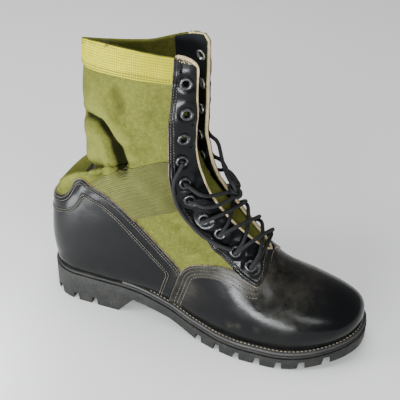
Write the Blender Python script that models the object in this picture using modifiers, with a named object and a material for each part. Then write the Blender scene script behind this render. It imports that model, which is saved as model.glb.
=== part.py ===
"""Jungle boot for the right foot, standing empty on its sole.

Metres, +X to the toe, +Y to the inner side of the foot, +Z up. The origin is the middle of the
heel's tread, on the floor. The upper is a fan of sections: each one is a plane that is seen edge-on
from the side, from a point on the front line to a point on the feather line or the back line.
"""
import bmesh
import bpy
import numpy as np
from math import asin, cos, pi, radians, sin
from mathutils import Vector
from mathutils.bvhtree import BVHTree

# Driving dimensions
SOLE_LENGTH = 0.305
BALL_WIDTH = 0.108
HEEL_WIDTH = 0.075
BOOT_HEIGHT = 0.268
HEEL_BACK = 0.042
HEEL_HEIGHT = 0.031
FOREFOOT_SOLE = 0.0115
TOE_SPRING = 0.010
MIDSOLE_THICKNESS = 0.003
WELT_THICKNESS = 0.0032
WELT_WIDTH = 0.0072
INSOLE_THICKNESS = 0.002
UPPER_WALL = 0.0018
OVERLAY_WALL = 0.0014
TONGUE_WALL = 0.0022
TONGUE_WIDTH = 0.050
LUG_DEPTH = 0.0075
LUG_PITCH = 0.0195
LUG_REACH = 0.020
GROOVE_WIDTH = 0.005
EYELET_RADIUS = 0.0042
EYELET_RIM = 0.0014
EYELET_FLATNESS = 0.6
LACE_DIAMETER = 0.0035
GAP = 0.0003

# Meshing
SECTION_STEPS = 26
SIDE_STEPS = 9
OUTLINE_STEPS = 44
CROSSING_STEPS = 6
TOE_CROWDING = 1.2

COLLECTION = "jungle_boot"

# Half widths of the outsole, as shares of half the ball width, at shares of the length from the heel
PLAN_COLUMNS = ("along", "outer", "inner")
PLAN = (
    (0.00, 0.695, 0.695),
    (0.12, 0.695, 0.695),
    (0.22, 0.690, 0.680),
    (0.32, 0.675, 0.615),
    (0.42, 0.715, 0.570),
    (0.52, 0.835, 0.635),
    (0.60, 0.950, 0.765),
    (0.68, 1.010, 0.880),
    (0.75, 1.005, 0.940),
    (0.82, 0.970, 0.945),
    (0.90, 0.900, 0.890),
    (1.00, 0.820, 0.820),
)
HEEL_ROUND_FROM = 0.12
HEEL_ROUND_POWER = 2.2
TOE_ROUND_FROM = 0.76
TOE_ROUND_POWER = 2.3

# How far the middle line of the shoe swings to the inner side, as shares of half the ball width
SWING_COLUMNS = ("along", "swing")
SWING = (
    (0.00, 0.00),
    (0.40, 0.00),
    (0.60, 0.00),
    (0.80, 0.03),
    (1.00, 0.15),
)

# Underside and top of the outsole: heights at shares of the length. The underside's heights are shares
# of the heel's height, and the top's go from 0, the forefoot's sole, to 1, the heel's
SOLE_COLUMNS = ("along", "under", "top")
SOLE = (
    (0.000, 0.00, 1.00),
    (0.255, 0.00, 0.97),
    (0.305, 0.58, 0.90),
    (0.430, 0.36, 0.50),
    (0.500, 0.12, 0.20),
    (0.530, 0.00, 0.12),
    (0.620, 0.00, 0.00),
    (0.780, 0.00, 0.00),
    (0.860, 0.07, 0.07),
    (0.930, 0.18, 0.24),
    (1.000, 0.34, 0.50),
)

# The upper's sections, from the toe's tip to the collar. bottom and top are shares of the feather line's
# length from its heel end. rise and height are shares of the boot's height. outer and inner are half
# widths, as shares of half the ball width. belly is where along the section the width is greatest. crown
# and base are how square the section is over and under the belly. slot is half the throat's opening, as
# outer. lift is how far the middle of the section bows up, as rise, and tilt is how steeply the rear
# falls to the inner side
SECTION_COLUMNS = ("name", "bottom", "rise", "top", "height", "outer", "inner", "belly", "crown", "base", "slot",
                   "lift", "tilt")
SECTIONS = (
    ("tip", 1.000, 0.000, 1.014, 0.118, 0.76, 0.74, 0.66, 2.2, 2.6, 0.00, 0.000, 0.00),
    ("toe cap front", 0.990, 0.000, 1.014, 0.143, 0.76, 0.74, 0.66, 2.2, 2.6, 0.00, 0.000, 0.00),
    ("toe cap", 0.963, 0.000, 1.000, 0.170, 0.77, 0.74, 0.66, 2.2, 2.5, 0.00, 0.000, 0.00),
    ("toes", 0.891, 0.000, 0.926, 0.208, 0.80, 0.76, 0.68, 2.1, 2.4, 0.00, 0.000, 0.00),
    ("ball front", 0.812, 0.000, 0.836, 0.240, 0.85, 0.80, 0.70, 2.0, 2.2, 0.00, 0.000, 0.00),
    ("ball", 0.712, 0.000, 0.762, 0.281, 0.89, 0.77, 0.74, 1.9, 2.1, 0.00, 0.000, 0.00),
    ("throat", 0.630, 0.000, 0.723, 0.321, 0.85, 0.68, 0.76, 1.9, 2.0, 0.00, 0.000, 0.00),
    ("low instep", 0.534, 0.000, 0.699, 0.353, 0.77, 0.61, 0.76, 2.0, 2.0, 0.13, 0.000, 0.00),
    ("instep", 0.424, 0.000, 0.671, 0.385, 0.68, 0.57, 0.74, 2.2, 2.0, 0.19, 0.000, 0.00),
    ("high instep", 0.307, 0.000, 0.644, 0.415, 0.65, 0.58, 0.70, 2.3, 2.1, 0.22, 0.000, 0.00),
    ("heel front", 0.191, 0.000, 0.613, 0.447, 0.65, 0.63, 0.66, 2.4, 2.3, 0.24, 0.000, 0.00),
    ("heel", 0.087, 0.000, 0.585, 0.479, 0.645, 0.635, 0.62, 2.5, 2.6, 0.25, 0.004, 0.00),
    ("heel back", 0.000, 0.000, 0.534, 0.548, 0.645, 0.635, 0.56, 2.6, 3.2, 0.26, 0.010, 0.00),
    ("counter", -0.010, 0.100, 0.513, 0.590, 0.655, 0.645, 0.53, 2.7, 3.3, 0.26, 0.020, 0.00),
    ("counter top", -0.004, 0.215, 0.496, 0.642, 0.655, 0.645, 0.50, 2.8, 3.0, 0.27, 0.032, 0.00),
    ("ledge", 0.016, 0.312, 0.486, 0.702, 0.640, 0.630, 0.50, 2.9, 2.6, 0.27, 0.040, 0.00),
    ("tuck", 0.100, 0.333, 0.486, 0.727, 0.610, 0.600, 0.50, 2.9, 2.4, 0.28, 0.042, 0.00),
    ("fold", 0.138, 0.375, 0.486, 0.752, 0.600, 0.590, 0.50, 3.0, 2.3, 0.28, 0.040, 0.00),
    ("low shaft", 0.120, 0.460, 0.486, 0.793, 0.590, 0.580, 0.50, 3.0, 2.2, 0.28, 0.025, 0.04),
    ("shaft", 0.108, 0.610, 0.488, 0.868, 0.500, 0.490, 0.48, 3.1, 2.1, 0.28, 0.008, 0.20),
    ("collar", 0.114, 0.840, 0.503, 1.000, 0.370, 0.370, 0.42, 3.2, 1.8, 0.28, 0.000, 0.42),
)
CLOSED_FROM = "heel back"
# First place and number of the grooves between the lugs, under the heel and under the forefoot
GROOVES = ((0.045, 3), (0.535, 7))
# The heel's share in PLAN, where HEEL_WIDTH is met, and the places between which the width goes over to
# the ball's
HEEL_SHARE = 0.695
WIDTH_FROM = 0.3
WIDTH_TO = 0.6
# The place from which the underside's shares are of the toe's spring, and the toe's share in SOLE
SPRING_FROM = 0.6
TOE_SHARE = 0.34
# Places before the heel and past the toe that the side outlines reach
HEEL_PAST = -0.02
TOE_PAST = 1.02
GROOVE_SLANT = 0.3
FEATHER_INSET_HEEL = 0.0045
FEATHER_INSET_WELT = 0.0092
MIDSOLE_INSET = 0.0008
INSOLE_CLEARANCE = 0.0055
TONGUE_CLEARANCE = 0.0016
TONGUE_FROM = 5.4
TONGUE_TO = 19.5
TONGUE_STEPS = 14
TONGUE_SIDE_STEPS = 3
WELT_FROM = 0.27
WELT_FULL = 0.38

# Side outlines of what lies on the upper: points at shares of the length from the heel and of the boot's
# height. Where an outline is past the upper it only has to clear it
PANEL_COLUMNS = ("along", "up")
COUNTER = ((-0.03, 0.388), (0.030, 0.405), (0.098, 0.436), (0.138, 0.474), (0.174, 0.515), (0.230, 0.504),
           (0.279, 0.463), (0.318, 0.418), (0.384, 0.343), (0.459, 0.261), (0.446, 0.198), (0.423, 0.116),
           (0.405, 0.000), (-0.03, 0.000))
VAMP = ((0.408, 0.000), (0.426, 0.116), (0.449, 0.198), (0.463, 0.264), (0.498, 0.293), (0.551, 0.304),
        (0.587, 0.300), (0.626, 0.286), (0.688, 0.249), (0.703, 0.255), (0.712, 0.283), (0.711, 0.306),
        (0.702, 0.330), (0.720, 0.400), (1.05, 0.400), (1.05, 0.000))
EYESTAY = ((0.416, 1.050), (0.416, 0.940), (0.412, 0.813), (0.412, 0.668), (0.418, 0.586), (0.432, 0.507),
           (0.474, 0.430), (0.517, 0.392), (0.573, 0.340), (0.628, 0.290), (0.686, 0.253), (0.700, 0.258),
           (0.709, 0.284), (0.708, 0.306), (0.698, 0.335), (0.700, 0.500), (0.560, 0.700), (0.560, 1.050))
ANKLE_BAND = ((0.182, 0.519), (0.186, 0.532), (0.230, 0.570), (0.279, 0.600), (0.346, 0.637), (0.409, 0.668),
              (0.415, 0.586), (0.428, 0.510), (0.430, 0.478), (0.367, 0.448), (0.322, 0.424), (0.282, 0.470),
              (0.232, 0.511))
COLLAR_BAND = ((0.05, 1.050), (0.05, 0.845), (0.140, 0.866), (0.270, 0.905), (0.412, 0.915), (0.413, 0.940),
               (0.413, 1.050))
# Middles of the eyelets, from the collar down
EYELETS = ((0.450, 0.925), (0.456, 0.828), (0.449, 0.743), (0.446, 0.664), (0.456, 0.586), (0.472, 0.526),
           (0.515, 0.459), (0.564, 0.414), (0.613, 0.358), (0.661, 0.316))

# The lace's crossings, from one row of eyelets to the next, and how far they stand out over the throat
CROSSED_ROWS = (7, 8, 9)
LACE_BULGE = 0.016
LACE_FLATNESS = 0.5
CROSSING_LIFT = 0.0013
# The knot stands over the throat, and the loops end at angles round it, in its own plane
KNOT_PLACE = (0.1335, 0.003, 0.1405)
KNOT_TILT = 49.0
KNOT_RADIUS = 0.0045
KNOT_CORD = 0.0022
# Loops that run free from an eyelet to the knot: side, eyelet, angle at the knot and the points between
LOOPS = (
    ("lace_loop_outer_5", "outer", 5, 150, ((0.1125, -0.0300, 0.1525), (0.1190, -0.0225, 0.1475),
                                            (0.1250, -0.0130, 0.1450))),
    ("lace_loop_outer_6", "outer", 6, 188, ((0.1145, -0.0325, 0.1420), (0.1225, -0.0275, 0.1402),
                                            (0.1290, -0.0180, 0.1395))),
    ("lace_loop_inner_4", "inner", 4, 62, ((0.1060, 0.0300, 0.1700), (0.1105, 0.0270, 0.1605),
                                           (0.1150, 0.0220, 0.1525), (0.1210, 0.0150, 0.1475))),
    ("lace_loop_inner_5", "inner", 5, 25, ((0.1105, 0.0300, 0.1510), (0.1180, 0.0240, 0.1460),
                                           (0.1245, 0.0170, 0.1435))),
    ("lace_loop_inner_6", "inner", 6, 352, ((0.1155, 0.0310, 0.1412), (0.1240, 0.0255, 0.1400),
                                            (0.1305, 0.0175, 0.1400))),
)
# The long loop that hangs down the outer side, from its eyelet to beside the lowest crossings
HANGING_LOOP = ("outer", 4, ((0.0912, -0.0335, 0.1620), (0.0917, -0.0335, 0.1470), (0.0975, -0.0335, 0.1325),
                             (0.1065, -0.0330, 0.1215), (0.1180, -0.0325, 0.1125), (0.1300, -0.0315, 0.1060),
                             (0.1430, -0.0288, 0.1012)))


def table_column(rows, columns, name):
    """Return one named column of a table as an array."""
    return np.array([row[columns.index(name)] for row in rows], float)


def smooth(xs, ys, at):
    """Follow the points with a curve that has no overshoot."""
    xs = np.asarray(xs, float)
    ys = np.asarray(ys, float)
    steps = np.diff(xs)
    rises = np.diff(ys) / steps
    slopes = np.zeros(len(xs))
    for i in range(1, len(xs) - 1):
        if rises[i - 1] * rises[i] > 0:
            before = 2 * steps[i] + steps[i - 1]
            after = steps[i] + 2 * steps[i - 1]
            slopes[i] = (before + after) / (before / rises[i - 1] + after / rises[i])
    slopes[0] = rises[0]
    slopes[-1] = rises[-1]
    at = np.clip(at, xs[0], xs[-1])
    k = np.clip(np.searchsorted(xs, at) - 1, 0, len(xs) - 2)
    t = (at - xs[k]) / steps[k]
    return ((1 + 2 * t) * (1 - t) ** 2 * ys[k] + t * (1 - t) ** 2 * steps[k] * slopes[k]
            + t * t * (3 - 2 * t) * ys[k + 1] + t * t * (t - 1) * steps[k] * slopes[k + 1])


def blend(start, end, at):
    """Go smoothly from 0 at start to 1 at end."""
    t = min(max((at - start) / (end - start), 0.0), 1.0)
    return t * t * (3 - 2 * t)


def along(x):
    """Share of the length at x, from the heel's back."""
    return (x + HEEL_BACK) / SOLE_LENGTH


def at_share(share):
    """x at a share of the length."""
    return share * SOLE_LENGTH - HEEL_BACK


def swing(x):
    """y of the shoe's middle line."""
    return BALL_WIDTH / 2 * float(smooth(table_column(SWING, SWING_COLUMNS, "along"),
                                         table_column(SWING, SWING_COLUMNS, "swing"), along(x)))


def end_round(x, inset):
    """Share of the half width that is left near the heel's back and the toe's tip."""
    toe_from = at_share(TOE_ROUND_FROM)
    toe_end = at_share(1.0) - inset
    heel_from = at_share(HEEL_ROUND_FROM)
    heel_end = at_share(0.0) + inset
    if x > toe_from:
        t = min((x - toe_from) / (toe_end - toe_from), 1.0)
        return (1 - t ** TOE_ROUND_POWER) ** (1 / TOE_ROUND_POWER)
    if x < heel_from:
        t = min((heel_from - x) / (heel_from - heel_end), 1.0)
        return (1 - t ** HEEL_ROUND_POWER) ** (1 / HEEL_ROUND_POWER)
    return 1.0


def plan_half(x, side, inset):
    """Half width of the sole's outline, drawn in by inset. side is "outer" or "inner"."""
    share = float(smooth(table_column(PLAN, PLAN_COLUMNS, "along"),
                         table_column(PLAN, PLAN_COLUMNS, side), along(x)))
    widen = 1 + (HEEL_WIDTH / (HEEL_SHARE * BALL_WIDTH) - 1) * (1 - blend(WIDTH_FROM, WIDTH_TO, along(x)))
    return max(share * widen * BALL_WIDTH / 2 - inset, 0.0) * end_round(x, inset)


def sole_under(x):
    """Height of the outsole's underside, lugs included."""
    share = float(np.interp(along(x), table_column(SOLE, SOLE_COLUMNS, "along"),
                            table_column(SOLE, SOLE_COLUMNS, "under")))
    if along(x) > SPRING_FROM:
        return share * TOE_SPRING / TOE_SHARE
    return share * HEEL_HEIGHT


def sole_top(x):
    """Height of the outsole's top."""
    share = float(smooth(table_column(SOLE, SOLE_COLUMNS, "along"),
                         table_column(SOLE, SOLE_COLUMNS, "top"), along(x)))
    return FOREFOOT_SOLE + share * (HEEL_HEIGHT - FOREFOOT_SOLE)


def midsole_top(x):
    """Height of the midsole's top, where the upper stands."""
    return sole_top(x) + GAP + MIDSOLE_THICKNESS


def feather_inset(x):
    """How far the upper's lower edge lies inside the outsole's outline."""
    share = blend(WELT_FROM, WELT_FULL, along(x))
    return FEATHER_INSET_HEEL + share * (FEATHER_INSET_WELT - FEATHER_INSET_HEEL)


def on_feather(share):
    """x at a share of the feather line's length, from its heel end."""
    heel_end = at_share(0.0) + FEATHER_INSET_HEEL
    toe_end = at_share(1.0) - FEATHER_INSET_WELT
    return heel_end + share * (toe_end - heel_end)


def section(row):
    """Return the sizes of the upper's section at a place in the table, which may lie between two rows."""
    rows = np.arange(len(SECTIONS))
    value = {name: float(smooth(rows, table_column(SECTIONS, SECTION_COLUMNS, name), row))
             for name in SECTION_COLUMNS[1:]}
    bottom_x = on_feather(value["bottom"])
    closed = [r[0] for r in SECTIONS].index(CLOSED_FROM)
    toe = end_round(bottom_x, FEATHER_INSET_WELT) if bottom_x > 0 else 1.0
    sizes = {
        "bottom": Vector((bottom_x, 0, midsole_top(bottom_x) + 3 * GAP + value["rise"] * BOOT_HEIGHT)),
        "top": Vector((on_feather(value["top"]), 0, value["height"] * BOOT_HEIGHT)),
        "belly": value["belly"],
        "crown": value["crown"],
        "base": value["base"],
        "slot": value["slot"] * BALL_WIDTH / 2,
        "lift": value["lift"] * BOOT_HEIGHT,
        "tilt": value["tilt"],
    }
    for side in ("outer", "inner"):
        sizes[side] = value[side] * BALL_WIDTH / 2 * toe
        sizes["feather_" + side] = 0.0
        if row < closed:
            sizes["feather_" + side] = min(plan_half(bottom_x, side, feather_inset(bottom_x)), sizes[side])
    return sizes


def section_point(sizes, turn, side):
    """Point of a section: turn goes from 0, on the front line, to 1, at the feather or back line."""
    width = sizes[side]
    feather = sizes["feather_" + side]
    angle = turn * pi
    if turn <= 0.5:
        power = 2 / sizes["crown"]
        share = sizes["belly"] * (1 - abs(cos(angle)) ** power)
        half = width * sin(angle) ** power
    else:
        power = 2 / sizes["base"]
        share = sizes["belly"] + (1 - sizes["belly"]) * abs(cos(angle)) ** power
        half = feather + (width - feather) * max(sin(angle), 0.0) ** power
    point = sizes["top"].lerp(sizes["bottom"], share)
    point.z += sizes["lift"] * sin(pi * share * share)
    sign = -1 if side == "outer" else 1
    point.y = swing(point.x) + sign * half
    point.z -= sizes["tilt"] * share * sign * half
    return point


def slot_turn(sizes, side):
    """The turn where a section meets the throat's edge."""
    if sizes["slot"] <= 0 or sizes[side] <= 0:
        return 0.0
    return asin(min(sizes["slot"] / sizes[side], 1.0) ** (sizes["crown"] / 2)) / pi


def upper_surface(first=0.0, last=None, steps=SECTION_STEPS):
    """Return a bmesh of the upper's outer surface, both sides, between two places in the table."""
    last = len(SECTIONS) - 1 if last is None else last
    surface = bmesh.new()
    for side in ("outer", "inner"):
        grid = []
        for i in range(steps + 1):
            sizes = section(first + (last - first) * (i / steps) ** TOE_CROWDING)
            start = slot_turn(sizes, side)
            turns = [start + (1 - start) * j / SIDE_STEPS for j in range(SIDE_STEPS + 1)]
            grid.append([surface.verts.new(section_point(sizes, turn, side)) for turn in turns])
        for near, far in zip(grid, grid[1:]):
            for j in range(SIDE_STEPS):
                corners = [near[j], near[j + 1], far[j + 1], far[j]]
                surface.faces.new(corners if side == "inner" else corners[::-1])
    bmesh.ops.remove_doubles(surface, verts=surface.verts, dist=0.00001)
    bmesh.ops.dissolve_degenerate(surface, edges=surface.edges, dist=0.00001)
    bmesh.ops.triangulate(surface, faces=surface.faces)
    surface.normal_update()
    return surface


def surface_mesh(name, lift, first=0.0, last=None, steps=SECTION_STEPS):
    """Return the upper's surface as a mesh, moved outwards by lift."""
    surface = upper_surface(first, last, steps)
    for vert in surface.verts:
        vert.co += vert.normal * lift
    mesh = bpy.data.meshes.new(name)
    surface.to_mesh(mesh)
    surface.free()
    return mesh


def new_object(name, mesh, look, collection):
    """Link an object that holds the mesh, with its material."""
    made = bpy.data.objects.new(name, mesh)
    if look:
        mesh.materials.append(look)
    collection.objects.link(made)
    return made


def material(name, colour, roughness, metallic=0.0):
    """Return a Principled BSDF material."""
    made = bpy.data.materials.new(name)
    made.use_nodes = True
    shader = made.node_tree.nodes["Principled BSDF"]
    shader.inputs["Base Color"].default_value = (*colour, 1.0)
    shader.inputs["Roughness"].default_value = roughness
    shader.inputs["Metallic"].default_value = metallic
    return made


def shell(made, thickness, side):
    """Give a surface its wall: side 1 outwards, -1 inwards."""
    wall = made.modifiers.new("wall", "SOLIDIFY")
    wall.thickness = thickness
    wall.offset = side
    wall.use_even_offset = False
    wall.use_quality_normals = True


def boolean(made, cutter, operation):
    """Cut the object with a cutter, or keep what both share."""
    cut = made.modifiers.new(cutter.name, "BOOLEAN")
    cut.operation = operation
    cut.solver = "EXACT"
    cut.object = cutter


def prism(name, corners, move, look, collection):
    """Return a solid that starts at the corners' face and goes as far as move."""
    solid = bmesh.new()
    face = solid.faces.new([solid.verts.new(corner) for corner in corners])
    grown = bmesh.ops.extrude_face_region(solid, geom=[face])
    far = [item for item in grown["geom"] if isinstance(item, bmesh.types.BMVert)]
    bmesh.ops.translate(solid, verts=far, vec=move)
    bmesh.ops.recalc_face_normals(solid, faces=solid.faces)
    mesh = bpy.data.meshes.new(name)
    solid.to_mesh(mesh)
    solid.free()
    return new_object(name, mesh, look, collection)


def side_prism(name, points, low, high, cutters):
    """Return a cutter with a side outline, from y low to y high."""
    return hide(prism(name, [(x, low, z) for x, z in points], (0, high - low, 0), None, cutters))


def plan_prism(name, points, look, collection):
    """Return a solid with a plan outline that is taller than the sole."""
    return prism(name, [(x, y, -HEEL_HEIGHT) for x, y in points], (0, 0, 4 * HEEL_HEIGHT), look, collection)


def hide(cutter):
    """Keep a cutter out of the render."""
    cutter.hide_render = True
    cutter.display_type = "WIRE"
    return cutter


def sole_places():
    """Return the places along the sole where its heights are taken."""
    return [at_share(HEEL_PAST + (TOE_PAST - HEEL_PAST) * i / OUTLINE_STEPS) for i in range(OUTLINE_STEPS + 1)]


def ring(inset, start=0.0):
    """Return the sole's outline, drawn in by what inset gives at each place, from start to the toe."""
    low = max(at_share(start), at_share(0.0) + inset(at_share(0.0)))
    high = at_share(1.0) - inset(at_share(1.0))
    half = OUTLINE_STEPS // 2
    places = [low + (high - low) * (1 - cos(pi * i / half)) / 2 for i in range(half + 1)]
    outer = [(x, swing(x) - plan_half(x, "outer", inset(x))) for x in places]
    inner = [(x, swing(x) + plan_half(x, "inner", inset(x))) for x in places]
    if inner[0][1] - outer[0][1] < GAP:
        inner = inner[1:]
    return outer + inner[-2::-1]


def band_points(under, over):
    """Return a side outline between two heights that vary along the sole."""
    places = sole_places()
    return [(x, under(x)) for x in places] + [(x, over(x)) for x in reversed(places)]


def layer(name, inset, under, over, look, parts, cutters, start=0.0):
    """Return a layer of the sole: a plan outline between two heights."""
    made = plan_prism(name, ring(inset, start), look, parts)
    boolean(made, side_prism(name + "_heights", band_points(under, over), -BALL_WIDTH, BALL_WIDTH, cutters),
            "INTERSECT")
    return made


def outsole_side():
    """Side outline of the outsole: its underside's corners, then its top."""
    below = [(at_share(row[0]), sole_under(at_share(row[0]))) for row in SOLE]
    below[0] = (at_share(HEEL_PAST), below[0][1])
    below[-1] = (at_share(TOE_PAST), below[-1][1])
    return below + [(x, sole_top(x)) for x in reversed(sole_places())]


def groove_cutter(cutters):
    """Return one cutter that holds every groove between the lugs, at both edges of the sole."""
    grooves = bmesh.new()
    slant = GROOVE_WIDTH * GROOVE_SLANT
    half = GROOVE_WIDTH / 2
    for start, count in GROOVES:
        for i in range(count):
            x = at_share(start) + i * LUG_PITCH
            top = sole_under(x) + LUG_DEPTH
            profile = ((x - half - slant, -LUG_DEPTH), (x + half + slant, -LUG_DEPTH), (x + half, top),
                       (x - half, top))
            for side, sign in (("outer", -1), ("inner", 1)):
                edge = swing(x) + sign * plan_half(x, side, 0.0)
                ends = sorted((edge - sign * LUG_REACH, edge + sign * LUG_REACH))
                corners = [[grooves.verts.new((px, y, pz)) for px, pz in profile] for y in ends]
                grooves.faces.new(corners[0])
                grooves.faces.new(corners[1][::-1])
                for k in range(4):
                    grooves.faces.new((corners[0][k], corners[1][k], corners[1][k - 3], corners[0][k - 3]))
    bmesh.ops.recalc_face_normals(grooves, faces=grooves.faces)
    mesh = bpy.data.meshes.new("grooves")
    grooves.to_mesh(mesh)
    grooves.free()
    return hide(new_object("grooves", mesh, None, cutters))


def welt_opening(tree):
    """Return the outline that the welt leaves for the upper, a little outside the upper at the welt's top."""
    points = []
    for x, y in ring(lambda x: 0.0):
        spine = min(max(x, at_share(HEEL_ROUND_FROM)), at_share(TOE_ROUND_FROM))
        height = welt_top(x) + GAP
        inward = Vector((spine - x, swing(spine) - y, 0)).normalized()
        hit = tree.ray_cast(Vector((x, y, height)) - inward * WELT_WIDTH, inward)[0]
        points.append((hit - inward * 3 * GAP).xy[:] if hit else (spine, swing(spine)))
    return points


def make_sole(looks, parts, cutters, tree):
    """Outsole with its lugs, midsole, welt and insole."""
    outsole = plan_prism("outsole", ring(lambda x: 0.0), looks["rubber"], parts)
    boolean(outsole, side_prism("outsole_side", outsole_side(), -BALL_WIDTH, BALL_WIDTH, cutters), "INTERSECT")
    boolean(outsole, groove_cutter(cutters), "DIFFERENCE")
    layer("midsole", lambda x: MIDSOLE_INSET, lambda x: sole_top(x) + GAP, midsole_top, looks["rubber"], parts,
          cutters)
    welt = layer("welt", lambda x: MIDSOLE_INSET, lambda x: midsole_top(x) + GAP, welt_top, looks["welt"], parts,
                 cutters, WELT_FROM)
    opening = plan_prism("welt_opening", welt_opening(tree), None, cutters)
    boolean(welt, hide(opening), "DIFFERENCE")
    layer("insole", lambda x: feather_inset(x) + UPPER_WALL + INSOLE_CLEARANCE, lambda x: midsole_top(x) + GAP,
          lambda x: midsole_top(x) + GAP + INSOLE_THICKNESS, looks["insole"], parts, cutters)


def welt_top(x):
    """Height of the welt's top."""
    return midsole_top(x) + GAP + WELT_THICKNESS


def panel_floor(x):
    """Height over the sole at which the panels start: over the welt, or over the midsole at the heel."""
    if along(x) > WELT_FROM - 1 / OUTLINE_STEPS:
        return welt_top(x) + GAP
    return midsole_top(x) + 2 * GAP


def panel_points(table):
    """Side outline of a panel, in metres."""
    return [(at_share(share), up * BOOT_HEIGHT) for share, up in table]


def make_upper(looks, parts, cutters):
    """The canvas upper and the panels that lie on it."""
    upper = new_object("upper", surface_mesh("upper", 0.0), looks["canvas"], parts)
    shell(upper, UPPER_WALL, -1)
    far = BALL_WIDTH
    sole_clear = side_prism("sole_clearance", band_points(lambda x: -far, panel_floor), -far, far, cutters)
    panels = (("vamp", VAMP, "leather", -far, far, True),
              ("counter", COUNTER, "leather", -far, far, True),
              ("eyestay_outer", EYESTAY, "leather", -far, 0.0, False),
              ("eyestay_inner", EYESTAY, "leather", 0.0, far, False),
              ("ankle_band_outer", ANKLE_BAND, "webbing", -far, 0.0, False),
              ("ankle_band_inner", ANKLE_BAND, "webbing", 0.0, far, False),
              ("collar_band", COLLAR_BAND, "webbing", -far, far, False))
    for name, table, look, low, high, meets_sole in panels:
        panel = new_object(name, surface_mesh(name, GAP), looks[look], parts)
        shell(panel, OVERLAY_WALL, 1)
        boolean(panel, side_prism(name + "_outline", panel_points(table), low, high, cutters), "INTERSECT")
        if meets_sole:
            boolean(panel, sole_clear, "DIFFERENCE")


def make_tongue(looks, parts):
    """The canvas sheet behind the throat."""
    sheet = bmesh.new()
    grid = []
    for i in range(TONGUE_STEPS + 1):
        sizes = section(TONGUE_FROM + (TONGUE_TO - TONGUE_FROM) * i / TONGUE_STEPS)
        points = []
        for side, order in (("outer", range(TONGUE_SIDE_STEPS, 0, -1)), ("inner", range(TONGUE_SIDE_STEPS + 1))):
            reach = min(TONGUE_WIDTH / 2 / sizes[side], 0.97) ** (sizes["crown"] / 2)
            end = asin(reach) / pi
            points += [section_point(sizes, end * j / TONGUE_SIDE_STEPS, side) for j in order]
        grid.append([sheet.verts.new(point) for point in points])
    for near, after in zip(grid, grid[1:]):
        for j in range(len(near) - 1):
            sheet.faces.new((near[j], near[j + 1], after[j + 1], after[j]))
    sheet.normal_update()
    for vert in sheet.verts:
        vert.co -= vert.normal * (UPPER_WALL + TONGUE_CLEARANCE)
    mesh = bpy.data.meshes.new("tongue")
    sheet.to_mesh(mesh)
    sheet.free()
    tongue = new_object("tongue", mesh, looks["canvas"], parts)
    shell(tongue, TONGUE_WALL, -1)


def side_place(tree, share, up, side):
    """Return the point on the upper at a place in the side view, and the direction out of it there."""
    sign = -1 if side == "outer" else 1
    start = Vector((at_share(share), sign * BALL_WIDTH, up * BOOT_HEIGHT))
    point, normal, _, _ = tree.ray_cast(start, Vector((0, -sign, 0)))
    if point is None:
        raise ValueError(f"no upper at {share}, {up}")
    return point, normal


def make_eyelets(looks, parts, tree):
    """Ten metal rings down each eyestay."""
    rise = GAP + OVERLAY_WALL + 2 * GAP + EYELET_RIM * EYELET_FLATNESS
    for side in ("outer", "inner"):
        for i, (share, up) in enumerate(EYELETS, 1):
            point, normal = side_place(tree, share, up, side)
            bpy.ops.mesh.primitive_torus_add(major_radius=EYELET_RADIUS, minor_radius=EYELET_RIM,
                                             major_segments=10, minor_segments=3)
            made = bpy.context.object
            made.name = f"eyelet_{side}_{i}"
            made.data.materials.append(looks["eyelet"])
            for owner in list(made.users_collection):
                owner.objects.unlink(made)
            parts.objects.link(made)
            turn = normal.to_track_quat("Z", "Y").to_matrix().to_4x4()
            for vert in made.data.vertices:
                vert.co.z *= EYELET_FLATNESS
            made.data.transform(turn)
            made.location = point + normal * rise


def smooth_path(points, spacing):
    """Return evenly placed points on a smooth curve through the route's own points."""
    points = [Vector(point) for point in points]
    ends = [2 * points[0] - points[1]] + points + [2 * points[-1] - points[-2]]
    path = []
    for before, start, end, after in zip(ends, ends[1:], ends[2:], ends[3:]):
        steps = max(int(round((end - start).length / spacing)), 1)
        for i in range(steps):
            t = i / steps
            path.append(0.5 * (2 * start + (end - before) * t + (2 * before - 5 * start + 4 * end - after) * t ** 2
                               + (3 * start - before - 3 * end + after) * t ** 3))
    return path + [points[-1]]


def cord(name, path, look, parts):
    """A tube of the lace's diameter along a path."""
    curve = bpy.data.curves.new(name, "CURVE")
    curve.dimensions = "3D"
    curve.bevel_depth = LACE_DIAMETER / 2
    curve.bevel_resolution = 2
    curve.use_fill_caps = True
    spline = curve.splines.new("POLY")
    spline.points.add(len(path) - 1)
    for point, place in zip(spline.points, path):
        point.co = (*place, 1.0)
    made = bpy.data.objects.new(name, curve)
    if look:
        curve.materials.append(look)
    parts.objects.link(made)
    return made


def solid_of(made):
    """Turn a cord into a mesh object with welded caps."""
    graph = bpy.context.evaluated_depsgraph_get()
    mesh = bpy.data.meshes.new_from_object(made.evaluated_get(graph))
    welded = bmesh.new()
    welded.from_mesh(mesh)
    bmesh.ops.remove_doubles(welded, verts=welded.verts, dist=0.00001)
    bmesh.ops.recalc_face_normals(welded, faces=welded.faces)
    welded.to_mesh(mesh)
    welded.free()
    name = made.name
    owners = list(made.users_collection)
    bpy.data.objects.remove(made, do_unlink=True)
    solid = bpy.data.objects.new(name, mesh)
    for owner in owners:
        owner.objects.link(solid)
    return solid


def lace_start(tree, side, number, lift):
    """Return the middle of the lace where it lies over an eyelet, lifted from it, and the eyelet's normal."""
    point, normal = side_place(tree, *EYELETS[number - 1], side)
    eyelet_top = 3 * GAP + OVERLAY_WALL + 2 * EYELET_RIM * EYELET_FLATNESS
    return point + normal * (eyelet_top + lift + LACE_DIAMETER / 2), normal


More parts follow.
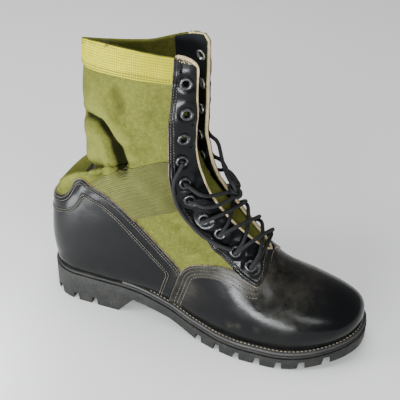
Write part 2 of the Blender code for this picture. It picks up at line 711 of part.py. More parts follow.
def loop_path(tree, side, number, points):
    """Points of a loop that lies on its eyelet's rim, and then goes its own way."""
    start, normal = lace_start(tree, side, number, GAP)
    ahead = Vector(points[0]) - start
    ahead -= normal * ahead.dot(normal)
    rim = start + ahead.normalized() * (EYELET_RADIUS + EYELET_RIM)
    return smooth_path([start, rim, *points], 2 * LACE_DIAMETER)


def crossing_path(start, end, out):
    """Points of a crossing that stands out over the throat."""
    shares = [i / CROSSING_STEPS for i in range(CROSSING_STEPS + 1)]
    return [start.lerp(end, share) + out * LACE_BULGE * (4 * share * (1 - share)) ** LACE_FLATNESS
            for share in shares]


def make_crossings(looks, parts, tree):
    """The lace's crossings over the throat and its lowest bar, joined."""
    paths = []
    for row in CROSSED_ROWS:
        corners = {(side, number): lace_start(tree, side, number, CROSSING_LIFT)[0]
                   for side in ("outer", "inner") for number in (row, row + 1)}
        down = corners["outer", row + 1] - corners["outer", row]
        across = corners["inner", row] - corners["outer", row]
        out = across.cross(down).normalized()
        if out.z < 0:
            out = -out
        paths.append(crossing_path(corners["outer", row], corners["inner", row + 1], out))
        paths.append(crossing_path(corners["inner", row], corners["outer", row + 1], out))
    last = CROSSED_ROWS[-1] + 1
    bar = [lace_start(tree, side, last, CROSSING_LIFT)[0] for side in ("outer", "inner")]
    paths.append(crossing_path(*bar, out))
    others = new_collection(COLLECTION + "_lace_cutters")
    first = solid_of(cord("lace_crossings", paths[0], None, parts))
    first.data.materials.append(looks["lace"])
    for i, path in enumerate(paths[1:], 2):
        hide(solid_of(cord(f"lace_crossing_{i}", path, None, others)))
    joined = first.modifiers.new("crossings", "BOOLEAN")
    joined.operation = "UNION"
    joined.solver = "EXACT"
    joined.operand_type = "COLLECTION"
    joined.collection = others


def make_lace(looks, parts, tree):
    """The lace: its crossings, its free loops and the knot they end at."""
    make_crossings(looks, parts, tree)
    knot = Vector(KNOT_PLACE)
    upward = Vector((-sin(radians(KNOT_TILT)), 0, cos(radians(KNOT_TILT))))
    bpy.ops.mesh.primitive_torus_add(major_radius=KNOT_RADIUS, minor_radius=KNOT_CORD, major_segments=12,
                                     minor_segments=6, location=knot, rotation=(0, radians(90 - KNOT_TILT), 0))
    made = bpy.context.object
    made.name = "lace_knot"
    made.data.materials.append(looks["lace"])
    for owner in list(made.users_collection):
        owner.objects.unlink(made)
    parts.objects.link(made)
    reach = KNOT_RADIUS + KNOT_CORD + GAP
    for name, side, number, angle, between in LOOPS:
        spoke = Vector((0, cos(radians(angle)), 0)) + upward * sin(radians(angle))
        points = [*between, knot + spoke * (reach + LACE_DIAMETER), knot + spoke * reach]
        cord(name, loop_path(tree, side, number, points), looks["lace"], parts)
    side, number, between = HANGING_LOOP
    cord("lace_hanging_loop", loop_path(tree, side, number, between), looks["lace"], parts)


def make_materials():
    """Return the boot's materials by name."""
    return {
        "canvas": material("canvas", (0.17, 0.18, 0.06), 0.9),
        "webbing": material("webbing", (0.25, 0.22, 0.07), 0.85),
        "leather": material("leather", (0.015, 0.015, 0.016), 0.3),
        "rubber": material("rubber", (0.03, 0.03, 0.032), 0.7),
        "welt": material("welt", (0.05, 0.045, 0.035), 0.6),
        "insole": material("insole", (0.2, 0.17, 0.1), 0.9),
        "eyelet": material("eyelet", (0.05, 0.05, 0.055), 0.3, 0.8),
        "lace": material("lace", (0.01, 0.01, 0.011), 0.85),
    }


def clear_scene():
    """Remove the scene's objects."""
    for old in list(bpy.data.objects):
        bpy.data.objects.remove(old, do_unlink=True)


def new_collection(name):
    """Link a collection to the scene."""
    made = bpy.data.collections.new(name)
    bpy.context.scene.collection.children.link(made)
    return made


def main():
    """Build the boot."""
    clear_scene()
    parts = new_collection(COLLECTION)
    cutters = new_collection(COLLECTION + "_cutters")
    looks = make_materials()
    surface = upper_surface()
    tree = BVHTree.FromBMesh(surface)
    surface.free()
    make_sole(looks, parts, cutters, tree)
    make_upper(looks, parts, cutters)
    make_tongue(looks, parts)
    make_eyelets(looks, parts, tree)
    make_lace(looks, parts, tree)
    for made in parts.objects:
        if made.type == "MESH":
            made.data.shade_smooth()


main()
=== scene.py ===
"""Jungle boot for the right foot: canvas shaft, leather vamp and counter, webbing bands and laces.

Metres, +X to the toe, +Y to the inner side of the foot, +Z up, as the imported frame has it. The upper is
one fine surface. Panels, bands, seams and edges are all measured on that surface.
"""
import random
from math import cos, pi, radians, sin

import bmesh
import bpy
import numpy as np
from bpy.props import FloatProperty, FloatVectorProperty, IntProperty, PointerProperty
from mathutils import Matrix, Vector, noise
from mathutils.bvhtree import BVHTree


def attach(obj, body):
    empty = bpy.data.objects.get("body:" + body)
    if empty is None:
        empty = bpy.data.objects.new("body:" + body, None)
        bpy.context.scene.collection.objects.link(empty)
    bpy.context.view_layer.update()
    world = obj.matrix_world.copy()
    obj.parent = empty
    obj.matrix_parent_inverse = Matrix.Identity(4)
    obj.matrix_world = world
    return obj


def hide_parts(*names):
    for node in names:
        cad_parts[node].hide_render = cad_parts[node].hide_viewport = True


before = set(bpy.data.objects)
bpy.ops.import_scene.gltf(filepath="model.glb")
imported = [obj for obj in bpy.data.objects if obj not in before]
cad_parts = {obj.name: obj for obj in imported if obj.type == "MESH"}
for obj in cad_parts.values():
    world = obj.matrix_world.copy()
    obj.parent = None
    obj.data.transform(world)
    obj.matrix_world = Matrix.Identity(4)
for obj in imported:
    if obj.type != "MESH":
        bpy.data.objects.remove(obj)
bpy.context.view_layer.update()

bl_info = {
    "name": "Jungle Boot",
    "version": (1, 0, 0),
    "blender": (4, 5, 0),
    "location": "3D View > Sidebar > Boot",
    "description": "Builds a worn jungle boot of canvas, webbing and black leather",
    "category": "Add Mesh",
}

SOLE_LENGTH = 0.305
BALL_WIDTH = 0.108
HEEL_WIDTH = 0.075
BOOT_HEIGHT = 0.268
HEEL_BACK = 0.042
HEEL_HEIGHT = 0.031
FOREFOOT_SOLE = 0.0115
TOE_SPRING = 0.010
MIDSOLE_THICKNESS = 0.003
WELT_THICKNESS = 0.0032
INSOLE_THICKNESS = 0.002
UPPER_WALL = 0.0018
LEATHER_WALL = 0.0015
TONGUE_WALL = 0.0020
TONGUE_WIDTH = 0.050
LUG_DEPTH = 0.0075
LUG_PITCH = 0.0195
LUG_REACH = 0.020
GROOVE_WIDTH = 0.005
EYELET_RADIUS = 0.0056
HOLE_RADIUS = 0.0029
LACE_DIAMETER = 0.0035
GAP = 0.0003

ROWS = 210
ROUND = 84
SMOOTHINGS = 14
CORD_SMOOTHINGS = 26
OUTLINE_STEPS = 150

PLAN_COLUMNS = ("along", "outer", "inner")
PLAN = (
    (0.00, 0.695, 0.695),
    (0.12, 0.695, 0.695),
    (0.22, 0.690, 0.680),
    (0.32, 0.675, 0.615),
    (0.42, 0.715, 0.570),
    (0.52, 0.835, 0.635),
    (0.60, 0.950, 0.765),
    (0.68, 1.010, 0.880),
    (0.75, 1.005, 0.940),
    (0.82, 0.970, 0.945),
    (0.90, 0.900, 0.890),
    (1.00, 0.820, 0.820),
)
HEEL_ROUND_FROM = 0.12
HEEL_ROUND_POWER = 2.2
TOE_ROUND_FROM = 0.76
TOE_ROUND_POWER = 2.3

SWING_COLUMNS = ("along", "swing")
SWING = ((0.00, 0.00), (0.40, 0.00), (0.60, 0.00), (0.80, 0.03), (1.00, 0.15))

SOLE_COLUMNS = ("along", "under", "top")
SOLE = (
    (0.000, 0.00, 1.00),
    (0.255, 0.00, 0.97),
    (0.305, 0.58, 0.90),
    (0.430, 0.36, 0.50),
    (0.500, 0.12, 0.20),
    (0.530, 0.00, 0.12),
    (0.620, 0.00, 0.00),
    (0.780, 0.00, 0.00),
    (0.860, 0.07, 0.07),
    (0.930, 0.18, 0.24),
    (1.000, 0.34, 0.50),
)

SECTION_COLUMNS = ("bottom", "rise", "top", "height", "outer", "inner", "belly", "crown", "base", "slot",
                   "lift", "tilt")
SECTIONS = (
    (1.000, 0.000, 1.014, 0.118, 0.76, 0.74, 0.66, 2.2, 2.6, 0.00, 0.000, 0.00),
    (0.990, 0.000, 1.014, 0.143, 0.76, 0.74, 0.66, 2.2, 2.6, 0.00, 0.000, 0.00),
    (0.963, 0.000, 1.000, 0.170, 0.77, 0.74, 0.66, 2.2, 2.5, 0.00, 0.000, 0.00),
    (0.891, 0.000, 0.926, 0.208, 0.80, 0.76, 0.68, 2.1, 2.4, 0.00, 0.000, 0.00),
    (0.812, 0.000, 0.836, 0.240, 0.85, 0.80, 0.70, 2.0, 2.2, 0.00, 0.000, 0.00),
    (0.712, 0.000, 0.762, 0.281, 0.89, 0.77, 0.74, 1.9, 2.1, 0.00, 0.000, 0.00),
    (0.630, 0.000, 0.723, 0.321, 0.85, 0.68, 0.76, 1.9, 2.0, 0.00, 0.000, 0.00),
    (0.534, 0.000, 0.699, 0.353, 0.77, 0.61, 0.76, 2.0, 2.0, 0.13, 0.000, 0.00),
    (0.424, 0.000, 0.671, 0.385, 0.68, 0.57, 0.74, 2.2, 2.0, 0.19, 0.000, 0.00),
    (0.307, 0.000, 0.644, 0.415, 0.65, 0.58, 0.70, 2.3, 2.1, 0.22, 0.000, 0.00),
    (0.191, 0.000, 0.613, 0.447, 0.65, 0.63, 0.66, 2.4, 2.3, 0.24, 0.000, 0.00),
    (0.087, 0.000, 0.585, 0.479, 0.645, 0.635, 0.62, 2.5, 2.6, 0.25, 0.004, 0.00),
    (0.000, 0.000, 0.534, 0.548, 0.645, 0.635, 0.56, 2.6, 3.2, 0.26, 0.010, 0.00),
    (-0.010, 0.100, 0.513, 0.590, 0.655, 0.645, 0.53, 2.7, 3.3, 0.26, 0.020, 0.00),
    (-0.004, 0.215, 0.496, 0.642, 0.655, 0.645, 0.50, 2.8, 3.0, 0.27, 0.032, 0.00),
    (0.016, 0.312, 0.486, 0.702, 0.640, 0.630, 0.50, 2.9, 2.6, 0.27, 0.040, 0.00),
    (0.100, 0.333, 0.486, 0.727, 0.610, 0.600, 0.50, 2.9, 2.4, 0.28, 0.042, 0.00),
    (0.138, 0.375, 0.486, 0.752, 0.600, 0.590, 0.50, 3.0, 2.3, 0.28, 0.040, 0.00),
    (0.120, 0.460, 0.486, 0.793, 0.590, 0.580, 0.50, 3.0, 2.2, 0.28, 0.025, 0.04),
    (0.108, 0.610, 0.488, 0.868, 0.500, 0.490, 0.48, 3.1, 2.1, 0.28, 0.008, 0.20),
    (0.114, 0.840, 0.503, 1.000, 0.370, 0.370, 0.42, 3.2, 1.8, 0.28, 0.000, 0.42),
)
CLOSED_FROM = 12
THROAT_FROM = 6
GROOVES = ((0.045, 3), (0.535, 7))
HEEL_SHARE = 0.695
WIDTH_FROM = 0.3
WIDTH_TO = 0.6
SPRING_FROM = 0.6
TOE_SHARE = 0.34
FEATHER_INSET_HEEL = 0.0045
FEATHER_INSET_WELT = 0.0092
MIDSOLE_INSET = 0.0008
TONGUE_CLEARANCE = 0.0016
TONGUE_FROM = 5.4
TONGUE_TO = 19.5
WELT_FROM = 0.27
WELT_FULL = 0.38

# Side outlines of the panels, at shares of the length from the heel and of the boot's height
COUNTER = ((-0.06, 0.380), (0.030, 0.405), (0.085, 0.432), (0.105, 0.468), (0.120, 0.508), (0.134, 0.526),
           (0.152, 0.529), (0.174, 0.520), (0.230, 0.500), (0.279, 0.463), (0.318, 0.418), (0.384, 0.343),
           (0.474, 0.250), (0.462, 0.198), (0.440, 0.116), (0.422, 0.000), (0.422, -0.1), (-0.06, -0.1))
VAMP = ((0.408, -0.1), (0.408, 0.000), (0.426, 0.116), (0.449, 0.198), (0.463, 0.264), (0.498, 0.293),
        (0.551, 0.306), (0.587, 0.306), (0.630, 0.301), (0.684, 0.268), (0.694, 0.272), (0.699, 0.284),
        (0.698, 0.305), (0.688, 0.330), (0.700, 0.372), (0.720, 0.400), (1.10, 0.400), (1.10, -0.1))
EYESTAY = ((0.416, 1.100), (0.416, 0.940), (0.412, 0.813), (0.412, 0.668), (0.418, 0.586), (0.432, 0.507),
           (0.474, 0.430), (0.517, 0.392), (0.573, 0.340), (0.628, 0.290), (0.686, 0.253), (0.700, 0.258),
           (0.709, 0.284), (0.708, 0.306), (0.698, 0.335), (0.700, 0.500), (0.560, 0.700), (0.560, 1.100))
ANKLE_BAND = ((0.170, 0.506), (0.180, 0.526), (0.230, 0.570), (0.279, 0.600), (0.346, 0.637), (0.424, 0.675),
              (0.434, 0.586), (0.450, 0.510), (0.462, 0.486), (0.367, 0.448), (0.328, 0.428), (0.312, 0.408),
              (0.274, 0.452), (0.224, 0.495))
ANKLE_TOP = ((0.080, 0.440), (0.182, 0.530), *ANKLE_BAND[2:5], (0.409, 0.668), (0.500, 0.712))
COLLAR_BAND = ((-0.05, 1.100), (-0.05, 0.880), (0.140, 0.893), (0.270, 0.911), (0.434, 0.915),
               (0.435, 0.940), (0.435, 1.100))
COLLAR_BOTTOM = ((-0.20, 0.870), *COLLAR_BAND[1:4], (0.500, 0.917))
FACING = ((0.366, 1.100), (0.366, 0.940), (0.380, 0.813), (0.402, 0.668), *EYESTAY[4:])
EYELETS = ((0.450, 0.925), (0.456, 0.828), (0.449, 0.743), (0.446, 0.664), (0.456, 0.586), (0.472, 0.526),
           (0.515, 0.459), (0.564, 0.414), (0.613, 0.358), (0.661, 0.316))
# How far the raised inner flap lifts its upper eyelets, as shares of the boot's height
EYELET_RAISE = (0.033, 0.030, 0.018)
# Rounding of the flaps' top corners: x and z of its middle, and its reach in x and z
CORNERS = {"outer": (0.0905, 0.2500, 0.0150, 0.0178), "inner": (0.0860, 0.2570, 0.0200, 0.0218)}
FLAP_RAISE = 0.009
# How far the cut edge stands out of each flap
EDGE_REACH = {"outer": 0.0024, "inner": 0.0007}
# Thickness, lift off the upper and edge rounding of what lies on it
BAND_WALL = 0.0010
COLLAR_WALL = 0.0011
FACING_WALL = 0.0009
PANEL_LIFT = 0.0001
EYESTAY_LIFT = 0.0002
PANEL_ROUNDING = 0.0011
BAND_ROUNDING = 0.0010
FACING_ROUNDING = 0.0008
# Rows of stitches, by their distance from the panel's edge
COUNTER_ROWS = (0.0022, 0.0046, 0.0125, 0.0148)
EYESTAY_ROWS = (0.0020, 0.0042)
WING_ROWS = (0.0020, 0.0052, 0.0084, 0.0116)
COLLAR_ROWS = (0.0018, 0.0040)
COLLAR_TOP_ROWS = (0.0016, 0.0038)
ANKLE_ROWS = [0.0018 + 0.0036 * row for row in range(13)]
ANKLE_EDGE_ROWS = (0.0016,)
# Height of the thread over the upper's surface
ON_LEATHER = LEATHER_WALL + 0.0004
ON_EYESTAY = LEATHER_WALL + 0.0005
ON_COLLAR = 0.0013
ON_ANKLE = 0.0011
ON_ANKLE_EDGE = 0.0012
# Half section of an eyelet and its washer, as radius and height
EYELET_PROFILE = ((0.0034, -0.0060), (0.0045, -0.0058), (0.0049, -0.0052), (0.0048, -0.0046),
                  (0.0030, -0.0050), (0.0027, -0.0042), (0.0027, 0.0002), (0.0029, 0.0009), (0.0035, 0.0013),
                  (0.0043, 0.0014), (0.0050, 0.0010), (0.0055, 0.0004), (0.0056, -0.0003), (0.0030, -0.0004),
                  (0.0030, -0.0030))
EYELET_TURNS = 30
WASHER_TOP = -0.0044
# Dusty places on the leather: x, z, size and amount
DUST_SPOTS = ((0.178, 0.074, 0.017, 0.9), (0.200, 0.060, 0.018, 0.6), (0.164, 0.066, 0.010, 0.9),
              (0.105, 0.050, 0.012, 0.7), (0.098, 0.066, 0.006, 0.9), (0.152, 0.031, 0.0035, 1.0),
              (0.159, 0.034, 0.0025, 0.9), (0.176, 0.036, 0.0025, 0.9))

# Creases and swellings of the surface: sides, height, width and the line's points in the side view
CREASE_COLUMNS = ("sides", "height", "width", "line")
CREASES = (
    ("outer", -0.0046, 0.0034, ((-0.006, 0.192), (0.008, 0.198), (0.020, 0.198), (0.028, 0.192))),
    ("outer", -0.0060, 0.0052,
     ((0.022, 0.196), (0.030, 0.190), (0.035, 0.181), (0.040, 0.170), (0.043, 0.161))),
    ("outer", -0.0045, 0.0075, ((0.038, 0.174), (0.042, 0.166), (0.044, 0.160))),
    ("outer", 0.0030, 0.0080, ((0.010, 0.210), (0.030, 0.206), (0.044, 0.192), (0.053, 0.176))),
    ("outer", 0.0025, 0.0070, ((0.004, 0.182), (0.016, 0.184), (0.026, 0.172), (0.032, 0.160))),
    ("outer", -0.0034, 0.0120, ((0.032, 0.228), (0.040, 0.219))),
    ("outer", -0.0024, 0.0090, ((0.074, 0.240), (0.068, 0.220))),
    ("outer", 0.0018, 0.0100, ((0.014, 0.232), (0.022, 0.216))),
    ("outer", 0.0016, 0.0100, ((0.055, 0.238), (0.052, 0.205))),
    ("outer", -0.0016, 0.0060, ((0.030, 0.214), (0.044, 0.202), (0.056, 0.196))),
    ("outer", -0.0020, 0.0060, ((0.036, 0.178), (0.050, 0.186), (0.062, 0.184))),
    ("outer", -0.0016, 0.0045, ((0.100, 0.090), (0.116, 0.098), (0.124, 0.108))),
    ("outer", 0.0014, 0.0050, ((0.106, 0.086), (0.122, 0.094), (0.132, 0.100))),
    ("outer", -0.0012, 0.0045, ((0.090, 0.104), (0.100, 0.118), (0.104, 0.128))),
    ("outer", -0.0018, 0.0060, ((0.072, 0.186), (0.064, 0.200), (0.052, 0.206))),
    ("outer", -0.0012, 0.0060, ((0.060, 0.170), (0.078, 0.160), (0.088, 0.142))),
    ("outer", 0.0014, 0.0060, ((0.050, 0.158), (0.070, 0.148), (0.084, 0.132))),
    ("outer", -0.0014, 0.0050, ((0.088, 0.116), (0.104, 0.098), (0.124, 0.088))),
    ("outer", 0.0012, 0.0070, ((0.096, 0.102), (0.112, 0.090), (0.122, 0.084))),
    ("outer", -0.0024, 0.0055, ((-0.028, 0.116), (-0.010, 0.127), (0.004, 0.143), (0.022, 0.153))),
    ("outer", 0.0028, 0.0070, ((-0.026, 0.126), (-0.008, 0.138), (0.003, 0.153), (0.012, 0.168))),
    ("inner", -0.0040, 0.0060, ((-0.004, 0.188), (0.014, 0.190), (0.030, 0.180), (0.040, 0.166))),
    ("inner", 0.0024, 0.0090, ((0.006, 0.204), (0.030, 0.198), (0.048, 0.182))),
    ("inner", -0.0022, 0.0110, ((0.044, 0.222), (0.052, 0.208))),
    ("inner", -0.0014, 0.0060, ((0.054, 0.168), (0.074, 0.158), (0.086, 0.140))),
    ("inner", -0.0012, 0.0050, ((0.092, 0.112), (0.108, 0.096), (0.124, 0.088))),
    ("both", -0.0007, 0.0090, ((0.164, 0.068), (0.180, 0.062))),
)

CROSSED_ROWS = (7, 8, 9)
LACE_BULGE = 0.016
LACE_FLATNESS = 0.5
CROSSING_LIFT = 0.0013
KNOT_PLACE = (0.1335, 0.003, 0.1405)
KNOT_TILT = 49.0
KNOT_RADIUS = 0.0045
KNOT_CORD = 0.0022
LOOPS = (
    ("lace_loop_outer_5", "outer", 5, 150, ((0.1125, -0.0300, 0.1525), (0.1190, -0.0225, 0.1475),
                                            (0.1250, -0.0130, 0.1450))),
    ("lace_loop_outer_6", "outer", 6, 188, ((0.1145, -0.0325, 0.1420), (0.1225, -0.0275, 0.1402),
                                            (0.1290, -0.0180, 0.1395))),
    ("lace_loop_inner_4", "inner", 4, 62, ((0.1060, 0.0300, 0.1700), (0.1105, 0.0270, 0.1605),
                                           (0.1150, 0.0220, 0.1525), (0.1210, 0.0150, 0.1475))),
    ("lace_loop_inner_5", "inner", 5, 25, ((0.1105, 0.0300, 0.1510), (0.1180, 0.0240, 0.1460),
                                           (0.1245, 0.0170, 0.1435))),
    ("lace_loop_inner_6", "inner", 6, 352, ((0.1155, 0.0310, 0.1412), (0.1240, 0.0255, 0.1400),
                                            (0.1305, 0.0175, 0.1400))),
)
HANGING_LOOP = ("lace_hanging_loop", "outer", 4,
                ((0.0912, -0.0335, 0.1620), (0.0917, -0.0335, 0.1470), (0.0975, -0.0335, 0.1325),
                 (0.1065, -0.0330, 0.1215), (0.1180, -0.0325, 0.1125), (0.1300, -0.0315, 0.1060),
                 (0.1430, -0.0288, 0.1012)))

# The knot's waves, and its ear as steps across, outward and upward from the knot's middle
KNOT_WAVE = 0.0019
KNOT_STEPS = 90
KNOT_EAR = ((0.003, 0.0, 0.002), (0.0, 0.004, 0.006), (-0.004, 0.007, 0.009), (-0.007, 0.008, 0.005),
            (-0.004, 0.004, 0.001))
EYELET_DEPTH = 0.006
EYELET_HEIGHT = 0.0022
LACE_SPACING = 0.0009
TURN_SPACING = 0.0008

# Frayed threads: name, finish, rim, place, rim points used, threads, length and radius
FRAYS = (
    ("frayed_collar", "olive_thread", "collar", (0.058, -0.020, 0.268), 14, 14, 0.006, 0.00018),
    ("frayed_collar_front", "olive_thread", "collar", (0.078, -0.019, 0.268), 14, 10, 0.005, 0.00018),
    ("frayed_eyestay", "tan_thread", "throat", (0.090, -0.018, 0.267), 10, 70, 0.0042, 0.00026),
    ("frayed_edge", "tan_thread", "throat", (0.104, -0.015, 0.240), 26, 60, 0.0022, 0.00020),
)
FRAY_STEPS = 7

# Studio lamps: name, place, width, height, power and colour
LIGHTS = (
    ("overhead_light", (-0.10, 0.25, 1.60), 1.1, 1.1, 18.0, (1.0, 1.0, 1.0)),
    ("front_light", (0.05, -1.50, 0.25), 1.2, 0.28, 50.0, (0.95, 0.98, 1.0)),
    ("low_light", (-0.110, -0.190, 0.004), 0.15, 0.15, 1.2, (0.95, 0.98, 1.0)),
    ("right_light", (1.00, -0.95, 1.00), 0.5, 0.3, 5.0, (0.95, 0.98, 1.0)),
    ("left_light", (-1.20, -0.85, 0.95), 0.5, 0.5, 14.0, (1.0, 1.0, 0.98)),
)
LIT_PLACE = (0.09, 0.0, 0.10)
WORLD_COLOUR = (0.95, 0.97, 1.0, 1.0)
WORLD_STRENGTH = 0.32
FLOOR_REACH = 6

SIDES = {"outer": -1, "inner": 1}
MADE = {}


class BootSizes(bpy.types.PropertyGroup):
    """Sizes of the trim."""

    stitch_pitch: FloatProperty(name="Stitch Pitch", description="From one stitch to the next",
                                default=0.0026, min=0.001, subtype="DISTANCE", unit="LENGTH")
    thread: FloatProperty(name="Thread", description="Thickness of the sewing thread",
                          default=0.0007, min=0.0002, subtype="DISTANCE", unit="LENGTH")
    welt_pitch: FloatProperty(name="Welt Pitch", description="From one stitch of the welt to the next",
                              default=0.0036, min=0.001, subtype="DISTANCE", unit="LENGTH")
    lace: FloatProperty(name="Lace", description="Diameter of the lace", default=LACE_DIAMETER, min=0.001,
                        subtype="DISTANCE", unit="LENGTH")
    creasing: FloatProperty(name="Creasing", description="How deep the folds are", default=1.0, min=0.0,
                            max=1.5, subtype="FACTOR")
    seed: IntProperty(name="Seed", description="Start of the random draws", default=7)


class BootColours(bpy.types.PropertyGroup):
    """Colours of the boot's materials."""

    canvas: FloatVectorProperty(name="Canvas", description="Olive cotton", subtype="COLOR", min=0, max=1,
                                default=(0.128, 0.138, 0.030))
    webbing: FloatVectorProperty(name="Webbing", description="Ribbed bands", subtype="COLOR", min=0, max=1,
                                 default=(0.430, 0.405, 0.021))
    ankle: FloatVectorProperty(name="Ankle Band", description="Webbing at the ankle", subtype="COLOR", min=0,
                               max=1, default=(0.094, 0.098, 0.028))
    leather: FloatVectorProperty(name="Leather", description="Black leather", subtype="COLOR", min=0, max=1,
                                 default=(0.0022, 0.0024, 0.0028))
    cut_edge: FloatVectorProperty(name="Cut Edge", description="Raw edge of the leather", subtype="COLOR",
                                  min=0, max=1, default=(0.52, 0.41, 0.24))
    rubber: FloatVectorProperty(name="Rubber", description="Sole", subtype="COLOR", min=0, max=1,
                                default=(0.009, 0.0095, 0.0095))
    dust: FloatVectorProperty(name="Dust", description="Dry dust on leather and rubber", subtype="COLOR",
                              min=0, max=1, default=(0.120, 0.110, 0.082))


class BootStage(bpy.types.PropertyGroup):
    """Camera and floor."""

    camera_place: FloatVectorProperty(name="Camera", description="Where the camera stands", subtype="XYZ",
                                      unit="LENGTH", default=(0.3185, -0.5833, 0.5707))
    camera_aim: FloatVectorProperty(name="Aim", description="What the camera looks at", subtype="XYZ",
                                    unit="LENGTH", default=(0.1024, 0.0, 0.1241))
    camera_roll: FloatProperty(name="Roll", description="Turn of the camera about its own axis",
                               default=radians(1.5), subtype="ANGLE", unit="ROTATION")
    lens: FloatProperty(name="Lens", description="Focal length in millimetres", default=77.85, min=10.0)
    floor: FloatVectorProperty(name="Floor", description="Colour of the floor", subtype="COLOR", min=0,
                               max=1, default=(0.86, 0.86, 0.85))


def table_column(rows, columns, name):
    """Return one named column of a table as an array."""
    return np.array([row[columns.index(name)] for row in rows], float)


def smooth(xs, ys, at):
    """Follow the points with a curve that has no overshoot."""
    steps = np.diff(xs)
    rises = np.diff(ys) / steps
    slopes = np.zeros(len(xs))
    for i in range(1, len(xs) - 1):
        if rises[i - 1] * rises[i] > 0:
            before = 2 * steps[i] + steps[i - 1]
            after = steps[i] + 2 * steps[i - 1]
            slopes[i] = (before + after) / (before / rises[i - 1] + after / rises[i])
    slopes[0] = rises[0]
    slopes[-1] = rises[-1]
    at = np.clip(at, xs[0], xs[-1])
    k = np.clip(np.searchsorted(xs, at) - 1, 0, len(xs) - 2)
    t = (at - xs[k]) / steps[k]
    return ((1 + 2 * t) * (1 - t) ** 2 * ys[k] + t * (1 - t) ** 2 * steps[k] * slopes[k]
            + t * t * (3 - 2 * t) * ys[k + 1] + t * t * (t - 1) * steps[k] * slopes[k + 1])


def blend(start, end, at):
    """Go smoothly from 0 at start to 1 at end."""
    t = np.clip((at - start) / (end - start), 0.0, 1.0)
    return t * t * (3 - 2 * t)


def along(x):
    """Share of the length at x, from the heel's back."""
    return (x + HEEL_BACK) / SOLE_LENGTH


def at_share(share):
    """x at a share of the length."""
    return share * SOLE_LENGTH - HEEL_BACK


def swing(x):
    """y of the shoe's middle line."""
    return BALL_WIDTH / 2 * smooth(table_column(SWING, SWING_COLUMNS, "along"),
                                   table_column(SWING, SWING_COLUMNS, "swing"), along(x))


def end_round(x, inset):
    """Share of the half width that is left near the heel's back and the toe's tip."""
    toe_from, toe_end = at_share(TOE_ROUND_FROM), at_share(1.0) - inset
    heel_from, heel_end = at_share(HEEL_ROUND_FROM), at_share(0.0) + inset
    toe = np.clip((x - toe_from) / (toe_end - toe_from), 0, 1)
    heel = np.clip((heel_from - x) / (heel_from - heel_end), 0, 1)
    return ((1 - toe ** TOE_ROUND_POWER) ** (1 / TOE_ROUND_POWER)
            * (1 - heel ** HEEL_ROUND_POWER) ** (1 / HEEL_ROUND_POWER))


def plan_half(x, side, inset):
    """Half width of the sole's outline, drawn in by inset."""
    share = smooth(table_column(PLAN, PLAN_COLUMNS, "along"), table_column(PLAN, PLAN_COLUMNS, side),
                   along(x))
    widen = 1 + (HEEL_WIDTH / (HEEL_SHARE * BALL_WIDTH) - 1) * (1 - blend(WIDTH_FROM, WIDTH_TO, along(x)))
    return np.maximum(share * widen * BALL_WIDTH / 2 - inset, 0.0) * end_round(x, inset)


def sole_under(x):
    """Height of the outsole's underside, lugs included."""
    share = np.interp(along(x), table_column(SOLE, SOLE_COLUMNS, "along"),
                      table_column(SOLE, SOLE_COLUMNS, "under"))
    return share * np.where(along(x) > SPRING_FROM, TOE_SPRING / TOE_SHARE, HEEL_HEIGHT)


def sole_top(x):
    """Height of the outsole's top."""
    share = smooth(table_column(SOLE, SOLE_COLUMNS, "along"), table_column(SOLE, SOLE_COLUMNS, "top"),
                   along(x))
    return FOREFOOT_SOLE + share * (HEEL_HEIGHT - FOREFOOT_SOLE)


def midsole_top(x):
    """Height of the midsole's top, where the upper stands."""
    return sole_top(x) + GAP + MIDSOLE_THICKNESS


def welt_top(x):
    """Height of the welt's top."""
    return midsole_top(x) + GAP + WELT_THICKNESS


def feather_inset(x):
    """How far the upper's lower edge lies inside the outsole's outline."""
    share = blend(WELT_FROM, WELT_FULL, along(x))
    return FEATHER_INSET_HEEL + share * (FEATHER_INSET_WELT - FEATHER_INSET_HEEL)


def on_feather(share):
    """x at a share of the feather line's length, from its heel end."""
    heel_end = at_share(0.0) + FEATHER_INSET_HEEL
    toe_end = at_share(1.0) - FEATHER_INSET_WELT
    return heel_end + share * (toe_end - heel_end)


def sections(rows):
    """Return the sizes of the upper's sections at places in the table, as arrays."""
    index = np.arange(len(SECTIONS), dtype=float)
    value = {name: smooth(index, table_column(SECTIONS, SECTION_COLUMNS, name), rows)
             for name in SECTION_COLUMNS}
    bottom_x = on_feather(value["bottom"])
    toe = np.where(bottom_x > 0, end_round(bottom_x, FEATHER_INSET_WELT), 1.0)
    zero = np.zeros_like(rows)
    bottom_z = midsole_top(bottom_x) + 3 * GAP + value["rise"] * BOOT_HEIGHT
    value["low"] = np.stack([bottom_x, zero, bottom_z], -1)
    value["high"] = np.stack([on_feather(value["top"]), zero, value["height"] * BOOT_HEIGHT], -1)
    value["slot"] = value["slot"] * BALL_WIDTH / 2
    for side in SIDES:
        value[side] = value[side] * BALL_WIDTH / 2 * toe
        feather = np.minimum(plan_half(bottom_x, side, feather_inset(bottom_x)), value[side])
        value["feather_" + side] = np.where(rows < CLOSED_FROM, feather, 0.0)
    return value


